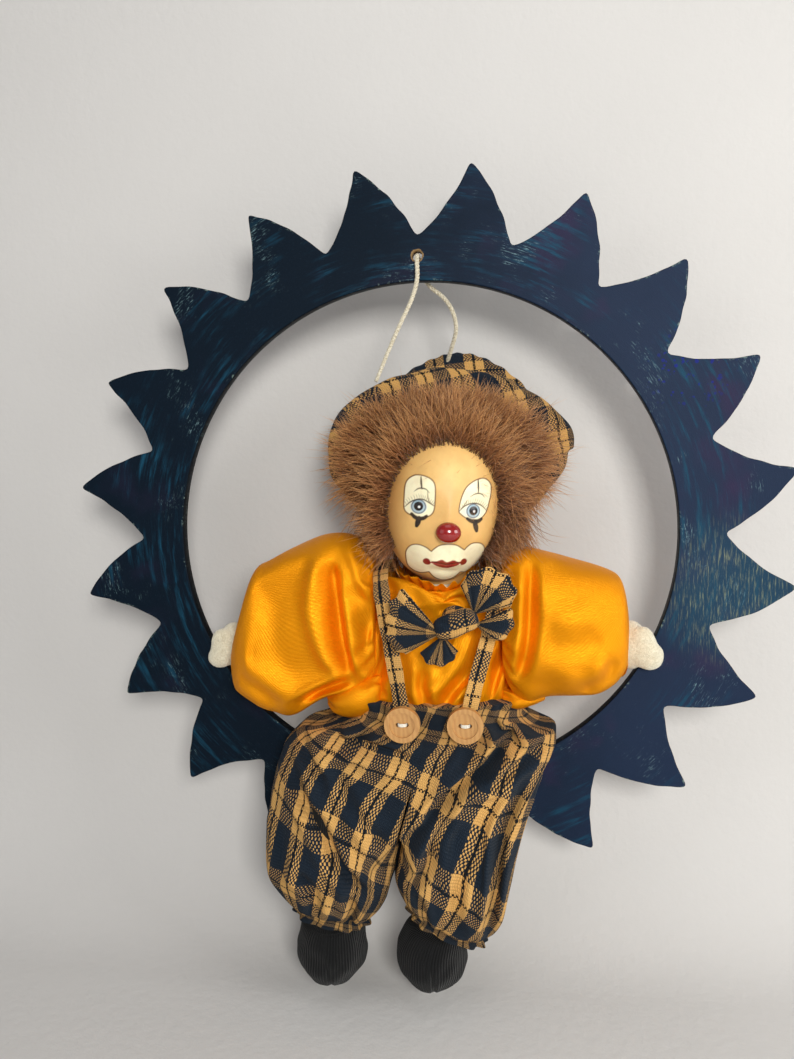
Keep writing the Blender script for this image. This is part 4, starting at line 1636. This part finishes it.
def trouser_points(side, rows, columns):
    """Rows of points round one leg. Above the crotch they take their half of the seat's outline and run
    back along the seam, so that the cloth looks whole; below it they close into a leg of their own."""
    out = 1 if side == "left" else -1
    leg = loft([(out * x, y, rise, w, d) for x, y, rise, w, d in LEGS[side]], rows, columns, square=2.4)
    leg = np.roll(leg, -(columns // 4), 1)
    rise = leg[:, 0, 2]
    left, right, middle, deep = (np.interp(-rise, -SEAT[:, 0], SEAT[:, k]) for k in (1, 2, 3, 4))
    wide, centre = (right - left) / 2, out * (right + left) / 2
    seam = out * np.interp(rise, *SEAM) - 0.25 + 1.3 * ease(rise, -89, -83)
    power = 2 / 2.5
    off_centre = np.sign(seam - centre) * (np.abs(seam - centre) / wide) ** (1 / power)
    meet = np.arccos(np.clip(off_centre, -0.98, 0.98))
    turn = np.arange(columns) / columns * 2 * math.pi
    on_wall = (turn < WALL) | (turn > 2 * math.pi - WALL)
    share = (turn - WALL)[None] / (2 * math.pi - 2 * WALL)
    round_seat = meet[:, None] + share * (2 * math.pi - 2 * meet)[:, None]
    x = centre[:, None] + wide[:, None] * np.sign(np.cos(round_seat)) * np.abs(np.cos(round_seat)) ** power
    y = middle[:, None] + deep[:, None] * np.sign(np.sin(round_seat)) * np.abs(np.sin(round_seat)) ** power
    reach = deep * np.abs(np.sin(meet)) ** power
    level = np.where(turn < math.pi, turn, turn - 2 * math.pi) / WALL
    x = np.where(on_wall[None], seam[:, None], x)
    y = np.where(on_wall[None], middle[:, None] + reach[:, None] * level[None], y)
    split = ease(-rise, 102, 117)[:, None]
    points = leg.copy()
    points[..., 0] = x * (1 - split) + leg[..., 0] * split
    points[..., 1] = y * (1 - split) + leg[..., 1] * split
    free = ease(-rise, 110, 120)[:, None] * 8
    points[..., 0] = np.minimum(points[..., 0], seam[:, None] + free)
    full = points[int(rows * 0.42)]
    steps = np.linalg.norm(np.diff(np.vstack([full, full[:1]]), axis=0), axis=1)
    run = np.concatenate([[0], np.cumsum(steps)])
    start = int(round(columns * (1 - WALL / (2 * math.pi))))
    across = run[start] - run
    if out < 0:
        points = points[:, (-np.arange(columns)) % columns]
        points[..., 0] *= -1
        across = across[::-1]
    return points, -out * across * MM


def hidden_cloth(flat):
    """How far the plaid jumps where cloth is tucked away inside a fold, in mm along both its ways."""
    shift = np.zeros((len(flat), 2))
    for path, _, _, _ in FOLDS[:4] + FOLDS[8:10]:
        line = np.array(path)[::-1]
        side = flat[:, 0] - np.interp(flat[:, 1], line[:, 1], line[:, 0])
        top, low = path[0][1], path[-1][1]
        inside = ease(flat[:, 1], low - 3, low + 9) * (1 - ease(flat[:, 1], top - 9, top + 3))
        near = 1 - ease(np.abs(side), 6, 30)
        shift += np.array([2.6, 1.4]) * (ease(side, -0.8, 0.8) * inside * near)[:, None]
    return shift


def make_trouser(side):
    """Half of the baggy trousers, from the gathered waist to the frilled cuff; it bends at the hip."""
    rows, columns = 108, 144
    points, across = trouser_points(side, rows, columns)
    facing = ease(-(points[..., 1] - np.interp(points[..., 2], (-140, -60), (-30, -6))), 0.5, 8.0)
    placed = hidden_cloth(points[..., [0, 2]].reshape(-1, 2)).reshape(rows, columns, 2)
    for path, depth, width, ridge in FOLDS:
        points = crease(points, path, depth, width, facing, ridge)
    seam = np.interp(points[..., 2], *SEAM)
    away = ease(np.abs(points[..., 0] - seam), 0.5, 7)
    middle = LEGS[side][-4][0]
    low = ease(-points[..., 2], 114, 138)
    lean, lift = DROOP[side]
    points[..., 2] += low * (lift - lean * np.clip(points[..., 0] - middle, -15, 30))
    gathered = pucker(points, 0.0, 1.3, 15, 101 + len(side), 0.14)
    gathered = pucker(gathered, 1.0, 0.75, 13, 103 + len(side), 0.12)
    points += (gathered - points) * np.maximum(away, ease(-points[..., 2], 112, 122))[..., None]
    points = relax(points, 1)
    rough = 0.9 * waves(points.reshape(-1, 3), 19.0, 105) + 0.4 * waves(points.reshape(-1, 3), 8.0, 106)
    share = np.arange(rows)[:, None] / (rows - 1)
    calm = ease(share, 0.05, 0.2) * (1 - ease(share, 0.85, 0.97))
    points[..., 1] += rough.reshape(rows, columns) * calm
    pins = pins_at(points, reach=0.05)
    pins = np.maximum(pins, (1 - away) * (points[..., 2] > -112))

    def lay(at):
        row, column = at[..., 0], at[..., 1]
        extra = placed[row.astype(int), column.astype(int) % columns] * MM
        u = across[column.astype(int)] * TROUSER_DENSITY + extra[..., 0]
        v = row / (rows - 1) * TROUSER_LENGTH * MM + extra[..., 1]
        return turned(u, v, TROUSER_GRAIN) + TROUSER_SHIFT

    trouser = soft_tube(f"{side}_trouser", points, PLAID, body=None, grow=0.035,
                        pressure=0.35, cap=1.6, pins=pins, bend=0.9, lay=lay)
    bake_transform(trouser)
    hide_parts(f"{side}_trouser_leg", "trousers_seat")


FEET = {"left": (-33.5, -34.0, -149.2), "right": (7.4, 3.5, -149.6)}


def make_leg(side):
    """A stuffed black stockinette leg whose foot is a round ball with a seam under its toe."""
    ankle, foot, rise = FEET[side]
    stations = [(ankle, -31, -95, 7.2, 7.2), (ankle, -31, -110, 7.8, 7.8), (ankle, -31, -126, 7.8, 7.8),
                (ankle, -31, -136, 8.0, 8.2),
                (ankle, -31, -140, 9.6, 10.2), ((ankle + foot) / 2, -31, rise + 8.6, 11.2, 12.8),
                (foot, -31, rise + 3, 12.7, 15.2), (foot, -31, rise - 3, 12.8, 15.6),
                (foot, -31.4, rise - 8, 10.9, 13.2), (foot, -31.8, rise - 11.8, 7.2, 8.8),
                (foot, -32, rise - 13.7, 2.6, 3.2)]
    points = loft(stations, 110, 120)
    lumps = 0.35 * waves(points.reshape(-1, 3), 9.0, 120).reshape(points.shape[:2])
    centre = points.mean(1, keepdims=True)
    out = points - centre
    out /= np.maximum(np.linalg.norm(out, axis=-1, keepdims=True), 1e-6)
    points = points + out * lumps[..., None]
    facing = ease(-(points[..., 1] + 31), 0, 6) * ease(-points[..., 2], 147, 152)
    points = crease(points, [(foot + 1, rise + 2), (foot + 1.4, rise - 7), (foot + 0.6, rise - 14)], 0.7,
                    0.7, facing, 0.5)
    leg = soft_tube(f"{side}_stocking", points, KNIT, (72, 90), body=f"{side}_leg")
    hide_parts(f"{side}_leg")
    low, high = (millimetres(corner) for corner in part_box(f"{side}_ankle_elastic"))
    centre = (low + high) / 2
    shirred_ring(f"{side}_cuff_elastic", f"{side}_ankle_elastic", centre, 9.5, 9.5, (1, 0, 0), (0, 1, 0),
                 f"{side}_leg")


def make_elastics():
    """The wrists' elastics stand square to the arms, and the waist's lies flat."""
    for side, wrist in WRISTS.items():
        along = unit_rows(np.array([wrist]) - (5, -7, -31))[0]
        across = unit_rows(np.cross([along], [(0, 0, 1.0)]))[0]
        shirred_ring(f"{side}_cuff_band", f"{side}_wrist_elastic", wrist, 6.9, 6.9, across,
                     np.cross(along, across), ROOT)
    shirred_ring("waist_band_elastic", "waist_elastic", (4.5, -5, -69.2), 29, 18.8, (1, 0, 0), (0, 1, 0),
                 ROOT, 0.9)


make_fur()
make_hat()
make_torso()
for side_name in ("left", "right"):
    make_sleeve(side_name)
    make_hand(side_name)
    make_brace(side_name)
    make_button(side_name)
    make_trouser(side_name)
    make_leg(side_name)
make_blouse()
make_collar()
make_elastics()
for fan_name in FANS:
    make_fan(fan_name)
make_bow_band()
